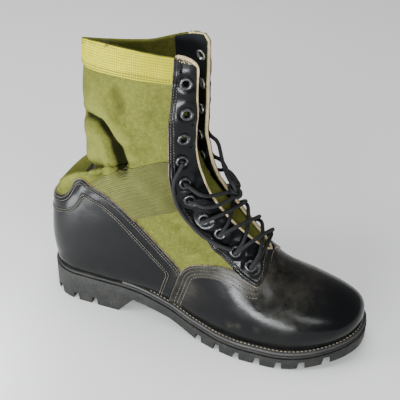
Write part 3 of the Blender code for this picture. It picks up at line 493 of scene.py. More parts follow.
def section_points(value, turns, side):
    """Points of the sections: turns go from 0, on the front line, to 1, at the feather or back line."""
    def column(name):
        return value[name][:, None]
    angle = turns * pi
    fall = np.abs(np.cos(angle))
    bow = np.clip(np.sin(angle), 0, None)
    front = turns <= 0.5
    crown = 2 / column("crown")
    base = 2 / column("base")
    share = np.where(front, column("belly") * (1 - fall ** crown),
                     column("belly") + (1 - column("belly")) * fall ** base)
    feather = column("feather_" + side)
    half = np.where(front, column(side) * bow ** crown, feather + (column(side) - feather) * bow ** base)
    points = value["high"][:, None] + (value["low"] - value["high"])[:, None] * share[..., None]
    points[..., 2] += column("lift") * BOOT_HEIGHT * np.sin(pi * share * share)
    points[..., 1] = swing(points[..., 0]) + SIDES[side] * half
    points[..., 2] -= column("tilt") * share * SIDES[side] * half
    return points


def slot_turn(value, side):
    """The turns where the sections meet the throat's edge."""
    width = np.maximum(value[side], GAP)
    reach = np.where(value["slot"] > 0, np.minimum(value["slot"] / width, 1.0), 0.0)
    return np.arcsin(reach ** (value["crown"] / 2)) / pi


def even(points, count):
    """Return count points at even distances on each line of points."""
    gaps = np.linalg.norm(np.diff(points, axis=1), axis=2)
    length = np.concatenate([np.zeros((len(points), 1)), np.cumsum(gaps, axis=1)], axis=1)
    out = np.empty((len(points), count, 3))
    for i, line in enumerate(points):
        wanted = np.linspace(0, length[i, -1], count)
        for k in range(3):
            out[i, :, k] = np.interp(wanted, length[i], line[:, k])
    return out, length[:, -1]


def even_rows():
    """Return places in the section table at about even distances on the boot."""
    rows = np.linspace(0, len(SECTIONS) - 1, 1200)
    value = sections(rows)
    marks = section_points(value, np.tile([0.05, 0.3, 0.5, 0.75, 0.97], (len(rows), 1)), "outer")
    step = np.linalg.norm(np.diff(marks, axis=0), axis=2)
    length = np.concatenate([[0], np.cumsum(step.mean(1) + 0.6 * step.max(1))])
    return np.interp(np.linspace(0, length[-1], ROWS), length, rows)


def line_distance(points, line):
    """Distance of side-view points to a line of side-view points."""
    best = np.full(len(points), 1e9)
    line = np.asarray(line, float)
    for start, end in zip(line, line[1:]):
        run = end - start
        t = np.clip(((points - start) @ run) / max(run @ run, 1e-12), 0, 1)
        best = np.minimum(best, np.linalg.norm(points - start - t[:, None] * run, axis=1))
    return best


def soften(line, rounds=3, closed=True):
    """Round a line's corners by cutting them."""
    line = np.asarray(line, float)
    for _ in range(rounds):
        after = np.roll(line, -1, axis=0)
        cut = np.stack([line * 0.75 + after * 0.25, line * 0.25 + after * 0.75], 1).reshape(-1, 2)
        line = cut if closed else np.vstack([line[:1], cut[1:-3], line[-1:]])
    return line


def in_metres(table):
    """Side-view points in metres from shares of the length and of the height."""
    return [(at_share(share), up * BOOT_HEIGHT) for share, up in table]


def outline_field(points, table):
    """Signed distance of side-view points to a panel's outline, positive inside."""
    outline = soften(in_metres(table))
    closed = np.vstack([outline, outline[:1]])
    inside = np.zeros(len(points), bool)
    for (x0, z0), (x1, z1) in zip(closed, closed[1:]):
        if z0 != z1:
            crosses = (points[:, 1] >= min(z0, z1)) & (points[:, 1] < max(z0, z1))
            inside ^= crosses & (points[:, 0] < x0 + (points[:, 1] - z0) / (z1 - z0) * (x1 - x0))
    distance = line_distance(points, closed)
    return np.where(inside, distance, -distance)


def relief(points, creasing):
    """Height of the folds and swellings, over points of the smooth surface."""
    flat = points[:, [0, 2]]
    side = np.where(points[:, 1] < swing(points[:, 0]), "outer", "inner")
    edge = blend(0.001, 0.010, np.abs(points[:, 1] - swing(points[:, 0])))
    height = np.zeros(len(points))
    for sides, size, width, line in CREASES:
        reach = np.exp(-(line_distance(flat, soften(line, 2, False)) / width) ** 2)
        height += np.where((side == sides) | (sides == "both"), size * reach * edge, 0.0)
    soft = np.array([noise.noise(Vector(p) * 38) + 0.5 * noise.noise(Vector(p) * 90) for p in points])
    cloth = blend(0.10, 0.14, points[:, 2])
    return height * creasing + soft * (0.0001 + 0.0013 * cloth)


class Surface:
    """Points with normals and values, and faces between them."""

    def __init__(self, rows, faces):
        self.rows = rows
        self.faces = faces

    @property
    def points(self):
        return self.rows[:, :3]

    @property
    def normals(self):
        return self.rows[:, 3:6]

    def value(self, name):
        return self.rows[:, VALUES.index(name) + 6]

    def cut(self, field, level, drop_low=True):
        """Cut the faces where the field has the level. Returns the surface and its field."""
        high = field > level
        points = list(self.rows)
        fields = list(field)
        shared = {}
        faces = []

        def between(a, b):
            key = (min(a, b), max(a, b))
            if key not in shared:
                t = (level - field[a]) / (field[b] - field[a])
                points.append(self.rows[a] * (1 - t) + self.rows[b] * t)
                fields.append(level)
                shared[key] = len(points) - 1
            return shared[key]

        for face in self.faces:
            inside = [high[v] for v in face]
            if all(inside):
                faces.append(face)
                continue
            if not any(inside):
                if not drop_low:
                    faces.append(face)
                continue
            upper, lower = [], []
            for k, vert in enumerate(face):
                after = face[(k + 1) % len(face)]
                (upper if inside[k] else lower).append(vert)
                if inside[k] != inside[(k + 1) % len(face)]:
                    cut = between(vert, after)
                    upper.append(cut)
                    lower.append(cut)
            faces.append(tuple(upper))
            if not drop_low:
                faces.append(tuple(lower))
        used = sorted({v for face in faces for v in face})
        place = {v: i for i, v in enumerate(used)}
        rows = np.array([points[v] for v in used])
        made = Surface(rows, [tuple(place[v] for v in face) for face in faces if len(set(face)) > 2])
        return made, np.array([fields[v] for v in used])


# fold holds the height of the folds and swellings; the canvas and webbing finishes paint shade where it is
# low.
VALUES = ("across", "around", "row", "front", "fold")


def upper_surface():
    """Return the boot's fine surface, folds included."""
    if "surface" in MADE:
        return MADE["surface"]
    rows = even_rows()
    value = sections(rows)
    mesh = bmesh.new()
    layers = [mesh.verts.layers.float.new(name) for name in VALUES]
    steps = np.linalg.norm(np.diff(value["high"] + value["low"], axis=0), axis=1)
    walk = np.concatenate([[0], np.cumsum(steps)])
    for side in SIDES:
        start = slot_turn(value, side)[:, None]
        turns = start + (1 - start) * np.linspace(0, 1, 500)
        grid, length = even(section_points(value, turns, side), ROUND)
        verts = []
        for i in range(ROWS):
            line = []
            for j in range(ROUND):
                vert = mesh.verts.new(grid[i, j])
                values = (walk[i] / 2, length[i] * j / (ROUND - 1), rows[i], float(j == 0), 0.0)
                for layer, number in zip(layers, values):
                    vert[layer] = number
                line.append(vert)
            verts.append(line)
        for near, far in zip(verts, verts[1:]):
            for j in range(ROUND - 1):
                corners = [near[j], near[j + 1], far[j + 1], far[j]]
                mesh.faces.new(corners if side == "inner" else corners[::-1])
    bmesh.ops.remove_doubles(mesh, verts=mesh.verts, dist=0.00002)
    bmesh.ops.dissolve_degenerate(mesh, edges=mesh.edges, dist=0.00002)
    inner = [vert for vert in mesh.verts if not vert.is_boundary]
    for _ in range(SMOOTHINGS):
        bmesh.ops.smooth_vert(mesh, verts=inner, factor=0.5,
                              use_axis_x=True, use_axis_y=True, use_axis_z=True)
    mesh.normal_update()
    points = np.array([vert.co for vert in mesh.verts])
    raised = FLAP_RAISE * blend(0.040, 0.090, points[:, 0]) * blend(0.190, 0.262, points[:, 2])
    raised *= blend(0.0, 0.010, points[:, 1])
    for vert, lift in zip(mesh.verts, raised):
        vert.co.z += lift
    height = relief(points, bpy.context.scene.boot_sizes.creasing)
    for vert, lift in zip(mesh.verts, height):
        vert.co += vert.normal * lift
        vert[layers[4]] = lift
    mesh.normal_update()
    mesh.verts.index_update()
    rows = np.array([[*vert.co, *vert.normal, *(vert[layer] for layer in layers)] for vert in mesh.verts])
    faces = [tuple(vert.index for vert in face.verts) for face in mesh.faces]
    MADE["tree"] = BVHTree.FromBMesh(mesh)
    mesh.free()
    surface = Surface(rows, faces)
    MADE["surface"], _ = surface.cut(corner_field(surface.points), 0.0)
    return MADE["surface"]


def corner_field(points):
    """Distance inside the rounded top corners of both flaps."""
    fields = []
    for side in SIDES:
        x, z, wide, high = CORNERS[side]
        aside = np.clip((points[:, 0] - x) / wide, 0, None)
        above = np.clip((points[:, 2] - z) / high, 0, None)
        fields.append((1 - np.hypot(aside * blend(0.0, 0.2, above), above)) * wide)
    return np.where(points[:, 1] < swing(points[:, 0]), *fields)


def bed(points, under):
    """Height of the panels that lie under another one."""
    height = np.zeros(len(points))
    for table, wall in under:
        height += wall * blend(-0.0014, 0.0008, outline_field(points[:, [0, 2]], table))
    return height


def pucker(points, sides):
    """Height of the leather round the eyelets, which pull it in."""
    height = np.zeros(len(points))
    for side in sides:
        for place in EYELETS:
            point, normal = side_place(*place, side)
            away = points - np.array(point)
            away -= (away @ np.array(normal))[:, None] * np.array(normal)
            radius = np.linalg.norm(away, axis=1)
            same = SIDES[side] * (points[:, 1] - swing(points[:, 0])) > 0
            height += same * (0.0005 * np.exp(-((radius - 0.0088) / 0.0022) ** 2)
                              - 0.0006 * np.exp(-(radius / 0.0055) ** 2))
    return height


def throat_rim(side):
    """Return the throat's edge on one side, from its lower end up and round the flap's top corner."""
    surface = upper_surface()
    used = {}
    for face in surface.faces:
        for k, a in enumerate(face):
            b = face[(k + 1) % len(face)]
            key = (min(a, b), max(a, b))
            used[key] = used.get(key, 0) + 1
    links = {}
    for (a, b), count in used.items():
        if count == 1:
            links.setdefault(a, []).append(b)
            links.setdefault(b, []).append(a)
    points = surface.points
    sign = SIDES[side]
    row = surface.value("row")
    front = [v for v in links if surface.value("front")[v] > 0.5 and row[v] > THROAT_FROM + 0.1
             and sign * (points[v, 1] - swing(points[v, 0])) > 0.0004]
    chain = [min(front, key=lambda v: row[v])]
    seen = set(chain)
    while True:
        ahead = [v for v in links[chain[-1]] if v not in seen and row[v] >= row[chain[0]] - 1e-6]
        if not ahead or points[chain[-1], 0] < CORNERS[side][0] - 0.003 and points[chain[-1], 2] > 0.22:
            break
        chain.append(max(ahead, key=lambda v: row[v]))
        seen.add(chain[-1])
    return surface.rows[chain]


def eyelet_places(side):
    """Return the eyelets' places in the side view, on one side."""
    raised = EYELET_RAISE + (0.0,) * len(EYELETS) if side == "inner" else (0.0,) * len(EYELETS)
    return [(share, up + more) for (share, up), more in zip(EYELETS, raised)]


def side_place(share, up, side):
    """Return the point on the upper at a place in the side view, and the direction out of it there."""
    upper_surface()
    start = Vector((at_share(share), SIDES[side] * BALL_WIDTH, up * BOOT_HEIGHT))
    point, normal, _, _ = MADE["tree"].ray_cast(start, Vector((0, -SIDES[side], 0)))
    if point is None:
        raise ValueError(f"no upper at {share}, {up}")
    return point, normal


def one_side(surface, side):
    """Return the surface's faces on one side of the foot."""
    middle = swing(surface.points[:, 0])
    sign = SIDES[side]
    kept = [face for face in surface.faces
            if sign * sum(surface.points[v, 1] - middle[v] for v in face) > 0]
    used = sorted({v for face in kept for v in face})
    place = {v: i for i, v in enumerate(used)}
    return Surface(surface.rows[used], [tuple(place[v] for v in face) for face in kept])


def pierce(surface, field, sides):
    """Cut the eyelets' holes out of a surface."""
    for side in sides:
        for share, up in eyelet_places(side):
            point, normal = side_place(share, up, side)
            away = surface.points - np.array(point)
            height = away @ np.array(normal)
            radius = np.linalg.norm(away - height[:, None] * np.array(normal), axis=1)
            far = np.abs(height) > 0.012
            hole = np.where(far, 1.0, radius)
            if hole.min() > HOLE_RADIUS * 3:
                continue
            surface.rows = np.hstack([surface.rows, field[:, None]])
            surface, _ = surface.cut(hole, HOLE_RADIUS)
            field = surface.rows[:, -1]
            surface.rows = surface.rows[:, :-1]
    return surface, field


def new_object(name, mesh, look, slot, *nodes):
    """Link a piece that rides on the boot, with its material and the nodes it stands for. Its slot is not
    used.
    """
    made = bpy.data.objects.new(name, mesh)
    bpy.context.scene.collection.objects.link(made)
    if look:
        made.data.materials.append(look)
    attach(made, "root")
    if nodes:
        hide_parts(*nodes)
    return made


def new_mesh(name, points, faces, values=None):
    """Return a smooth mesh with its named values."""
    mesh = bpy.data.meshes.new(name)
    mesh.from_pydata([tuple(p) for p in points], [], faces)
    for key, numbers in (values or {}).items():
        numbers = np.asarray(numbers, float)
        kind = "FLOAT_VECTOR" if numbers.ndim > 1 else "FLOAT"
        layer = mesh.attributes.new(key, kind, "POINT")
        layer.data.foreach_set("vector" if numbers.ndim > 1 else "value", numbers.ravel())
    mesh.update()
    mesh.shade_smooth()
    return mesh


def turn_out(mesh, weld=0.0):
    """Turn a closed mesh's faces outward, after welding points nearer than weld."""
    fix = bmesh.new()
    fix.from_mesh(mesh)
    if weld:
        bmesh.ops.remove_doubles(fix, verts=fix.verts, dist=weld)
    bmesh.ops.recalc_face_normals(fix, faces=fix.faces)
    fix.to_mesh(mesh)
    fix.free()


def thicken(made, thickness, offset=-1):
    """Give a sheet its thickness."""
    wall = made.modifiers.new("wall", "SOLIDIFY")
    wall.thickness = thickness
    wall.offset = offset


def grid_faces(rows, count):
    """Return the faces between rows of count points."""
    return [(i * count + j, i * count + j + 1, (i + 1) * count + j + 1, (i + 1) * count + j)
            for i in range(rows - 1) for j in range(count - 1)]


def cloth_place(surface):
    """Return each point's place on the cloth, in millimetres."""
    around = surface.value("around")
    return np.stack([around, surface.value("across"), 0 * around], 1) * 1000


def dust_on(points, wing=None):
    """Share of dust on the leather, by place and by distance from the wing band's edge."""
    flat = points[:, [0, 2]]
    dust = np.zeros(len(points))
    for x, z, size, amount in DUST_SPOTS:
        away = (flat[:, 0] - x) ** 2 + (flat[:, 1] - z) ** 2
        dust = np.maximum(dust, amount * np.exp(-away / size ** 2))
    low = 1 - blend(0.0, 0.012, points[:, 2] - welt_top(points[:, 0]))
    if wing is not None:
        band = (1 - blend(0.0120, 0.0128, wing)) * (1 - blend(0.168, 0.176, points[:, 0]))
        dust = np.maximum(dust, band * (0.55 + 0.35 * blend(0.100, 0.160, points[:, 0])))
    return np.clip(dust + 0.12 * low, 0, 1)


def panel(name, look, slot, table, sides, lift, wall, rounding, nodes=(), holes=False, facing=1, under=(),
          guide=None):
    """Make a panel that lies on the upper, with rounded edges. facing -1 lays it on the inside."""
    surface = upper_surface()
    if len(sides) == 1:
        surface = one_side(surface, *sides)
    field = outline_field(surface.points[:, [0, 2]], table)
    surface, field = surface.cut(field, 0.0)
    for level in (rounding * 0.15, rounding * 0.5, rounding):
        surface, field = surface.cut(field, level, drop_low=False)
    if holes:
        surface, field = pierce(surface, field, sides)
    t = np.clip(field / rounding, 0, 1)
    height = lift + wall * np.sqrt(np.clip(1 - (1 - t) ** 2, 0, 1)) + bed(surface.points, under)
    if holes and facing > 0:
        height += pucker(surface.points, sides)
    if facing > 0:
        points = surface.points + surface.normals * height[:, None]
        faces = surface.faces
    else:
        points = surface.points - surface.normals * (UPPER_WALL + height)[:, None]
        faces = [face[::-1] for face in surface.faces]
    values = {
        "edge": field * 1000,
        "cloth": cloth_place(surface),
        "fold": surface.value("fold") * 1000,
        "dust": dust_on(surface.points, field if table is VAMP else None),
    }
    if guide:
        away = line_distance(surface.points[:, [0, 2]], soften(in_metres(guide), 2, False))
        values["band"] = np.stack([surface.value("around"), away, 0 * field], 1) * 1000
    return new_object(name, new_mesh(name, points, faces, values), look, slot, *nodes)


def contour(measure, levels, keep):
    """Return the lines on the upper where the measure has each level, as points and normals."""
    lines = []
    for side in SIDES:
        surface = one_side(upper_surface(), side)
        field = measure(surface.points)
        kept = keep(surface.points)
        for level in levels:
            lines += level_lines(surface, field, level, kept)
    return lines


def level_lines(surface, field, level, allowed):
    """Return the chains of points where a surface's field has the level."""
    lines = []
    links = {}
    for face in surface.faces:
        hits = []
        for k, a in enumerate(face):
            b = face[(k + 1) % len(face)]
            if (field[a] > level) != (field[b] > level) and allowed[a] and allowed[b]:
                hits.append((min(a, b), max(a, b)))
        if len(hits) == 2:
            links.setdefault(hits[0], []).append(hits[1])
            links.setdefault(hits[1], []).append(hits[0])
    rows = {}
    for a, b in links:
        t = (level - field[a]) / (field[b] - field[a])
        rows[a, b] = surface.rows[a] * (1 - t) + surface.rows[b] * t
    while links:
        start = min(links, key=lambda key: (len(links[key]), key))
        chain = [start]
        while True:
            ahead = [key for key in links.pop(chain[-1]) if key in links]
            if not ahead:
                break
            chain.append(ahead[0])
        if len(chain) > 4:
            lines.append(np.array([rows[key] for key in chain]))
    return lines


def spaced(points, pitch, extra=()):
    """Return points at an even pitch along a line, with what goes with them."""
    points = np.asarray(points, float)
    length = np.concatenate([[0], np.cumsum(np.linalg.norm(np.diff(points, axis=0), axis=1))])
    count = max(int(length[-1] / pitch), 2)
    wanted = np.linspace(0, length[-1], count)
    out = [np.stack([np.interp(wanted, length, np.asarray(item)[:, k]) for k in range(3)], 1)
           for item in (points, *extra)]
    return out if extra else out[0]


def smooth_line(points, times):
    """Even out a line's points, ends kept."""
    points = points.copy()
    for _ in range(times):
        points[1:-1] = points[1:-1] * 0.5 + (points[:-2] + points[2:]) * 0.25
    return points


def stitch_mesh(name, rows, pitch, thread, fill=0.74):
    """Return a mesh of short threads along lines of points and normals."""
    rings, turns = (-0.5, -0.3, 0.3, 0.5), 6
    size, lift = (0.45, 1.0, 1.0, 0.45), (-0.8, 0.25, 0.25, -0.8)
    points, faces = [], []
    for line, normals in rows:
        line, normals = spaced(smooth_line(line, 3), pitch, (normals,))
        for k in range(len(line) - 1):
            ahead = line[k + 1] - line[k]
            length = np.linalg.norm(ahead)
            ahead = ahead / max(length, 1e-9)
            up = normals[k] / np.linalg.norm(normals[k])
            across = np.cross(ahead, up)
            middle = (line[k] + line[k + 1]) / 2
            first = len(points)
            for place, share, rise in zip(rings, size, lift):
                for turn in range(turns):
                    angle = 2 * pi * turn / turns
                    radius = thread / 2 * share
                    points.append(middle + ahead * place * length * fill + up * (rise * thread / 2)
                                  + (across * cos(angle) + up * sin(angle)) * radius)
            for ring in range(len(rings) - 1):
                for turn in range(turns):
                    a = first + ring * turns + turn
                    b = first + ring * turns + (turn + 1) % turns
                    faces.append((a, b, b + turns, a + turns))
            last = first + (len(rings) - 1) * turns
            faces.append(tuple(first + turn for turn in reversed(range(turns))))
            faces.append(tuple(last + turn for turn in range(turns)))
    return new_mesh(name, points, faces)


def inside(table):
    """Return the measure of distance inside a panel's outline."""
    return lambda points: outline_field(points[:, [0, 2]], table)


def seam(name, look, slot, lines, height, pitch, thread):
    """Make rows of stitches along lines on the upper."""
    rows = [(line[:, :3] + line[:, 3:6] * height, line[:, 3:6]) for line in lines]
    return new_object(name, stitch_mesh(name, rows, pitch, thread), look, slot)


def tube(points, radius, turns):
    """Return points, faces and the thread's lay of a tube along a line."""
    points = np.asarray(points, float)
    ahead = np.gradient(points, axis=0)
    ahead /= np.linalg.norm(ahead, axis=1)[:, None]
    side = np.cross(ahead[0], (0.0, 0.0, 1.0))
    if np.linalg.norm(side) < 0.1:
        side = np.cross(ahead[0], (1.0, 0.0, 0.0))
    out, lay, walked = [], [], 0.0
    radii = np.broadcast_to(radius, len(points))
    for k, point in enumerate(points):
        side = side - ahead[k] * (side @ ahead[k])
        side = side / np.linalg.norm(side)
        up = np.cross(ahead[k], side)
        if k:
            walked += np.linalg.norm(point - points[k - 1])
        for turn in range(turns):
            angle = 2 * pi * turn / turns
            out.append(point + (side * cos(angle) + up * sin(angle)) * radii[k])
            lay.append((walked * 1000, cos(angle), sin(angle)))
    faces = []
    for k in range(len(points) - 1):
        for turn in range(turns):
            a = k * turns + turn
            b = k * turns + (turn + 1) % turns
            faces.append((a, b, b + turns, a + turns))
    faces.append(tuple(reversed(range(turns))))
    faces.append(tuple(range((len(points) - 1) * turns, len(points) * turns)))
    return out, faces, lay


def tube_mesh(name, lines, radius, turns=10):
    """Return one mesh of tubes along lines."""
    points, faces, lay = [], [], []
    for line in lines:
        more, rims, marks = tube(line, radius, turns)
        faces += [tuple(v + len(points) for v in face) for face in rims]
        points += more
        lay += marks
    return new_mesh(name, points, faces, {"lay": lay})


def smooth_path(points, spacing):
    """Return evenly placed points on a smooth curve through the route's own points."""
    points = [Vector(point) for point in points]
    ends = [2 * points[0] - points[1]] + points + [2 * points[-1] - points[-2]]
    path = []
    for before, start, end, after in zip(ends, ends[1:], ends[2:], ends[3:]):
        for i in range(12):
            t = i / 12
            path.append(0.5 * (2 * start + (end - before) * t
                               + (2 * before - 5 * start + 4 * end - after) * t ** 2
                               + (3 * start - before - 3 * end + after) * t ** 3))
    return spaced(np.array([*path, points[-1]]), spacing)


class Finish:
    """A Principled material that is built node by node."""

    def __init__(self, name, roughness=0.5, metallic=0.0, coat=0.0, specular=0.5):
        self.material = bpy.data.materials.new(name)
        self.material.use_nodes = True
        self.tree = self.material.node_tree
        self.shader = self.tree.nodes["Principled BSDF"]
        self.shader.inputs["Roughness"].default_value = roughness
        self.shader.inputs["Metallic"].default_value = metallic
        self.shader.inputs["Coat Weight"].default_value = coat
        self.shader.inputs["Coat Roughness"].default_value = 0.18
        self.shader.inputs["Specular IOR Level"].default_value = specular
        self.place = self.add("ShaderNodeTexCoord").outputs["Object"]

    def add(self, kind, **settings):
        made = self.tree.nodes.new(kind)
        for key, number in settings.items():
            setattr(made, key, number)
        return made

    def put(self, socket, source):
        """Give a socket a value or another node's output."""
        if isinstance(source, bpy.types.NodeSocket):
            self.tree.links.new(source, socket)
        elif isinstance(source, (tuple, list)) and len(source) == 3 and socket.type == "RGBA":
            socket.default_value = (*source, 1.0)
        else:
            socket.default_value = source

    def value(self, name):
        """A value of the mesh."""
        return self.add("ShaderNodeAttribute", attribute_name=name).outputs["Fac"]

    def vector(self, name):
        """A vector of the mesh."""
        return self.add("ShaderNodeAttribute", attribute_name=name).outputs["Vector"]

    def parts(self, vector):
        """The three parts of a vector."""
        made = self.add("ShaderNodeSeparateXYZ")
        self.put(made.inputs[0], vector)
        return made.outputs

    def math(self, operation, a, b=0.0, c=0.0):
        made = self.add("ShaderNodeMath", operation=operation)
        for socket, source in zip(made.inputs, (a, b, c)):
            self.put(socket, source)
        return made.outputs[0]

    def noise(self, scale, detail=3.0, roughness=0.55, place=None, stretch=None):
        made = self.add("ShaderNodeTexNoise")
        made.inputs["Scale"].default_value = scale
        made.inputs["Detail"].default_value = detail
        made.inputs["Roughness"].default_value = roughness
        source = place or self.place
        if stretch:
            turned = self.add("ShaderNodeMapping")
            turned.inputs["Scale"].default_value = stretch
            self.tree.links.new(source, turned.inputs["Vector"])
            source = turned.outputs[0]
        self.tree.links.new(source, made.inputs["Vector"])
        return made.outputs["Fac"]

    def cells(self, scale):
        made = self.add("ShaderNodeTexVoronoi", feature="F1")
        made.inputs["Scale"].default_value = scale
        self.tree.links.new(self.place, made.inputs["Vector"])
        return made.outputs["Distance"]

    def ramp(self, source, low, high, start=0.0, end=1.0):
        """Go from start at low to end at high."""
        made = self.add("ShaderNodeMapRange", interpolation_type="SMOOTHSTEP")
        for socket, number in zip(made.inputs, (source, low, high, start, end)):
            self.put(socket, number)
        return made.outputs[0]

    def mix(self, factor, a, b):
        made = self.add("ShaderNodeMix", data_type="RGBA", blend_type="MIX")
        self.put(made.inputs["Factor"], factor)
        self.put(made.inputs[6], a)
        self.put(made.inputs[7], b)
        return made.outputs[2]

    def wash(self, tone, factor, share, colour):
        """Lay a share of a colour over a tone where the factor says."""
        return self.mix(self.math("MULTIPLY", factor, share), tone, colour)

    def wave(self, source, period, phase=0.0):
        """A sine of the source from 0 to 1."""
        turned = self.math("MULTIPLY_ADD", source, 2 * pi / period, phase)
        return self.math("MULTIPLY_ADD", self.math("SINE", turned), 0.5, 0.5)

    def bump(self, height, distance, strength=1.0, over=None):
        made = self.add("ShaderNodeBump")
        made.inputs["Strength"].default_value = strength
        made.inputs["Distance"].default_value = distance
        self.put(made.inputs["Height"], height)
        if over is not None:
            self.put(made.inputs["Normal"], over)
        return made.outputs[0]

    def finish(self, colour, roughness=None, normal=None):
        self.put(self.shader.inputs["Base Color"], colour)
        if roughness is not None:
            self.put(self.shader.inputs["Roughness"], roughness)
        if normal is not None:
            self.put(self.shader.inputs["Normal"], normal)
        return self.material


def shade(colour, share):
    """A colour made darker or lighter."""
    return tuple(min(channel * share, 1.0) for channel in colour)


def canvas_finish():
    """Olive cotton canvas: weave, faded patches, and painted shade that darkens its creases and dents."""
    colour = tuple(bpy.context.scene.boot_colours.canvas)
    look = Finish("canvas", roughness=0.95, specular=0.06)
    place = look.parts(look.vector("cloth"))
    warp = look.wave(place[0], 0.85)
    weft = look.wave(place[1], 0.95, 1.0)
    weave = look.math("MULTIPLY", warp, weft)
    slub = look.noise(1.0, 2.0, place=look.vector("cloth"), stretch=(0.35, 2.2, 1.0))
    patches = look.ramp(look.noise(26.0, 5.0, 0.6), 0.35, 0.68)
    speckle = look.ramp(look.noise(700.0, 2.0), 0.42, 0.66)
    smudge = look.ramp(look.noise(300.0, 4.0, 0.7), 0.62, 0.38)
    tone = look.mix(patches, shade(colour, 0.80),
                    shade((colour[0] * 1.05, colour[1], colour[2] * 0.95), 1.16))
    tone = look.wash(tone, speckle, 0.40, shade(colour, 1.6))
    tone = look.wash(tone, smudge, 0.42, shade(colour, 0.50))
    tone = look.wash(tone, look.math("SUBTRACT", 1.0, weave), 0.30, shade(colour, 0.45))
    # Painted shade: where the fold value is low, in creases and dents, the canvas is darkened almost to
    # black.
    painted_crease_shade = look.ramp(look.value("fold"), -1.2, -4.6)
    tone = look.wash(tone, painted_crease_shade, 0.97, shade(colour, 0.05))
    worn = look.ramp(look.value("fold"), 0.5, 2.6)
    tone = look.wash(tone, worn, 0.35, shade(colour, 1.55))
    height = look.bump(look.noise(160.0, 4.0), 0.0006, 0.5)
    height = look.bump(slub, 0.0002, 0.4, height)
    return look.finish(tone, None, look.bump(weave, 0.00018, 0.8, height))


def webbing_finish(name, colour, rib, tick, ticked):
    """Ribbed cotton band: ribs along it and rows of small ticks across them, with painted shade in its
    creases and painted light towards the heel.
    """
    look = Finish(name, roughness=0.92, specular=0.06)
    place = look.parts(look.vector("band"))
    ribs = look.wave(place[1], rib)
    ticks = look.wave(place[0], tick)
    patches = look.ramp(look.noise(30.0, 4.0), 0.36, 0.66)
    # Painted light: the band is painted lighter towards the heel, where the light falls more strongly.
    back = look.ramp(look.parts(look.place)[0], 0.085, 0.02)
    tone = look.mix(patches, shade(colour, 0.82), shade(colour, 1.12))
    tone = look.mix(back, tone, shade(colour, 1.35))
    tone = look.mix(look.ramp(ribs, 0.40, 0.05, 0.0, 0.60), tone, shade(colour, 0.40))
    tone = look.mix(look.ramp(ticks, 0.55, 0.95, 0.0, ticked), tone, shade(colour, 0.40))
    smudge = look.ramp(look.noise(260.0, 4.0, 0.7), 0.62, 0.38, 0.0, 0.35)
    tone = look.mix(smudge, tone, shade(colour, 0.55))
    # Painted shade: where the fold value is low, in creases, the band is darkened.
    painted_crease_shade = look.ramp(look.value("fold"), -0.6, -4.5)
    tone = look.wash(tone, painted_crease_shade, 0.6, shade(colour, 0.35))
    height = look.bump(look.noise(300.0, 3.0), 0.0003, 0.5)
    return look.finish(tone, None, look.bump(ribs, 0.00035, 0.9, height))


def leather_finish(name, gloss, dusty, rows=(), painted_light_gain=1.0):
    """Polished black leather: fine grain, dust, scuffs, a worn edge and grooves under its stitches."""
    colours = bpy.context.scene.boot_colours
    # Painted light: the gain below makes a paler copy of the black leather, for pieces that lie in shade.
    base, dust = shade(tuple(colours.leather), painted_light_gain), tuple(colours.dust)
    look = Finish(name, roughness=gloss, specular=0.19)
    grain = look.cells(900.0)
    fine = look.noise(1500.0, 2.0)
    patches = look.noise(60.0, 5.0, 0.65)
    powder = look.math("MULTIPLY", look.value("dust"), look.ramp(patches, 0.20, 0.75))
    powder = look.math("ADD", powder, look.ramp(look.noise(18.0, 6.0, 0.7), 0.52, 0.80, 0.0, 0.06))
    powder = look.math("MULTIPLY", powder, dusty)
    scratch = look.ramp(look.noise(240.0, 5.0, 0.75, stretch=(0.6, 0.6, 3.0)), 0.70, 0.76)
    scratch = look.math("MULTIPLY", scratch, look.ramp(look.noise(32.0, 2.0), 0.50, 0.66))
    tone = look.wash(base, powder, 0.45, dust)
    tone = look.wash(tone, scratch, 0.5, shade(dust, 1.8))
    rim = look.ramp(look.value("edge"), 0.65, 0.25, 0.0, 0.9)
    rim = look.math("MULTIPLY", rim, look.ramp(look.noise(300.0, 3.0), 0.30, 0.55, 0.35, 1.0))
    tone = look.mix(rim, tone, shade(tuple(colours.cut_edge), 0.45))
    rough = look.math("ADD", look.ramp(patches, 0.3, 0.75, gloss - 0.04, gloss + 0.06),
                      look.math("MULTIPLY", powder, 0.30))
    height = look.bump(look.noise(34.0, 2.0), 0.0012, 0.35)
    height = look.bump(look.noise(150.0, 3.0), 0.0004, 0.35, height)
    height = look.bump(look.math("ADD", grain, look.math("MULTIPLY", fine, 0.5)), 0.00005, 0.35, height)
    for level in rows:
        away = look.math("ABSOLUTE", look.math("SUBTRACT", look.value("edge"), level * 1000))
        height = look.bump(look.ramp(away, 0.0, 0.9), 0.0006, 0.8, height)
    return look.finish(tone, rough, height)


def rubber_finish():
    """Black moulded rubber with dust in its pores."""
    colours = bpy.context.scene.boot_colours
    base, dust = tuple(colours.rubber), tuple(colours.dust)
    look = Finish("black_rubber", roughness=0.55, specular=0.22)
    powder = look.ramp(look.noise(45.0, 7.0, 0.7), 0.46, 0.78, 0.0, 0.15)
    pores = look.ramp(look.noise(900.0, 2.0), 0.5, 0.75, 0.0, 0.25)
    tone = look.mix(powder, base, dust)
    tone = look.mix(pores, tone, shade(dust, 0.8))
    rough = look.ramp(look.noise(90.0, 4.0), 0.3, 0.7, 0.45, 0.72)
    height = look.bump(look.noise(1200.0, 3.0), 0.00015, 0.5)
    return look.finish(tone, rough, height)


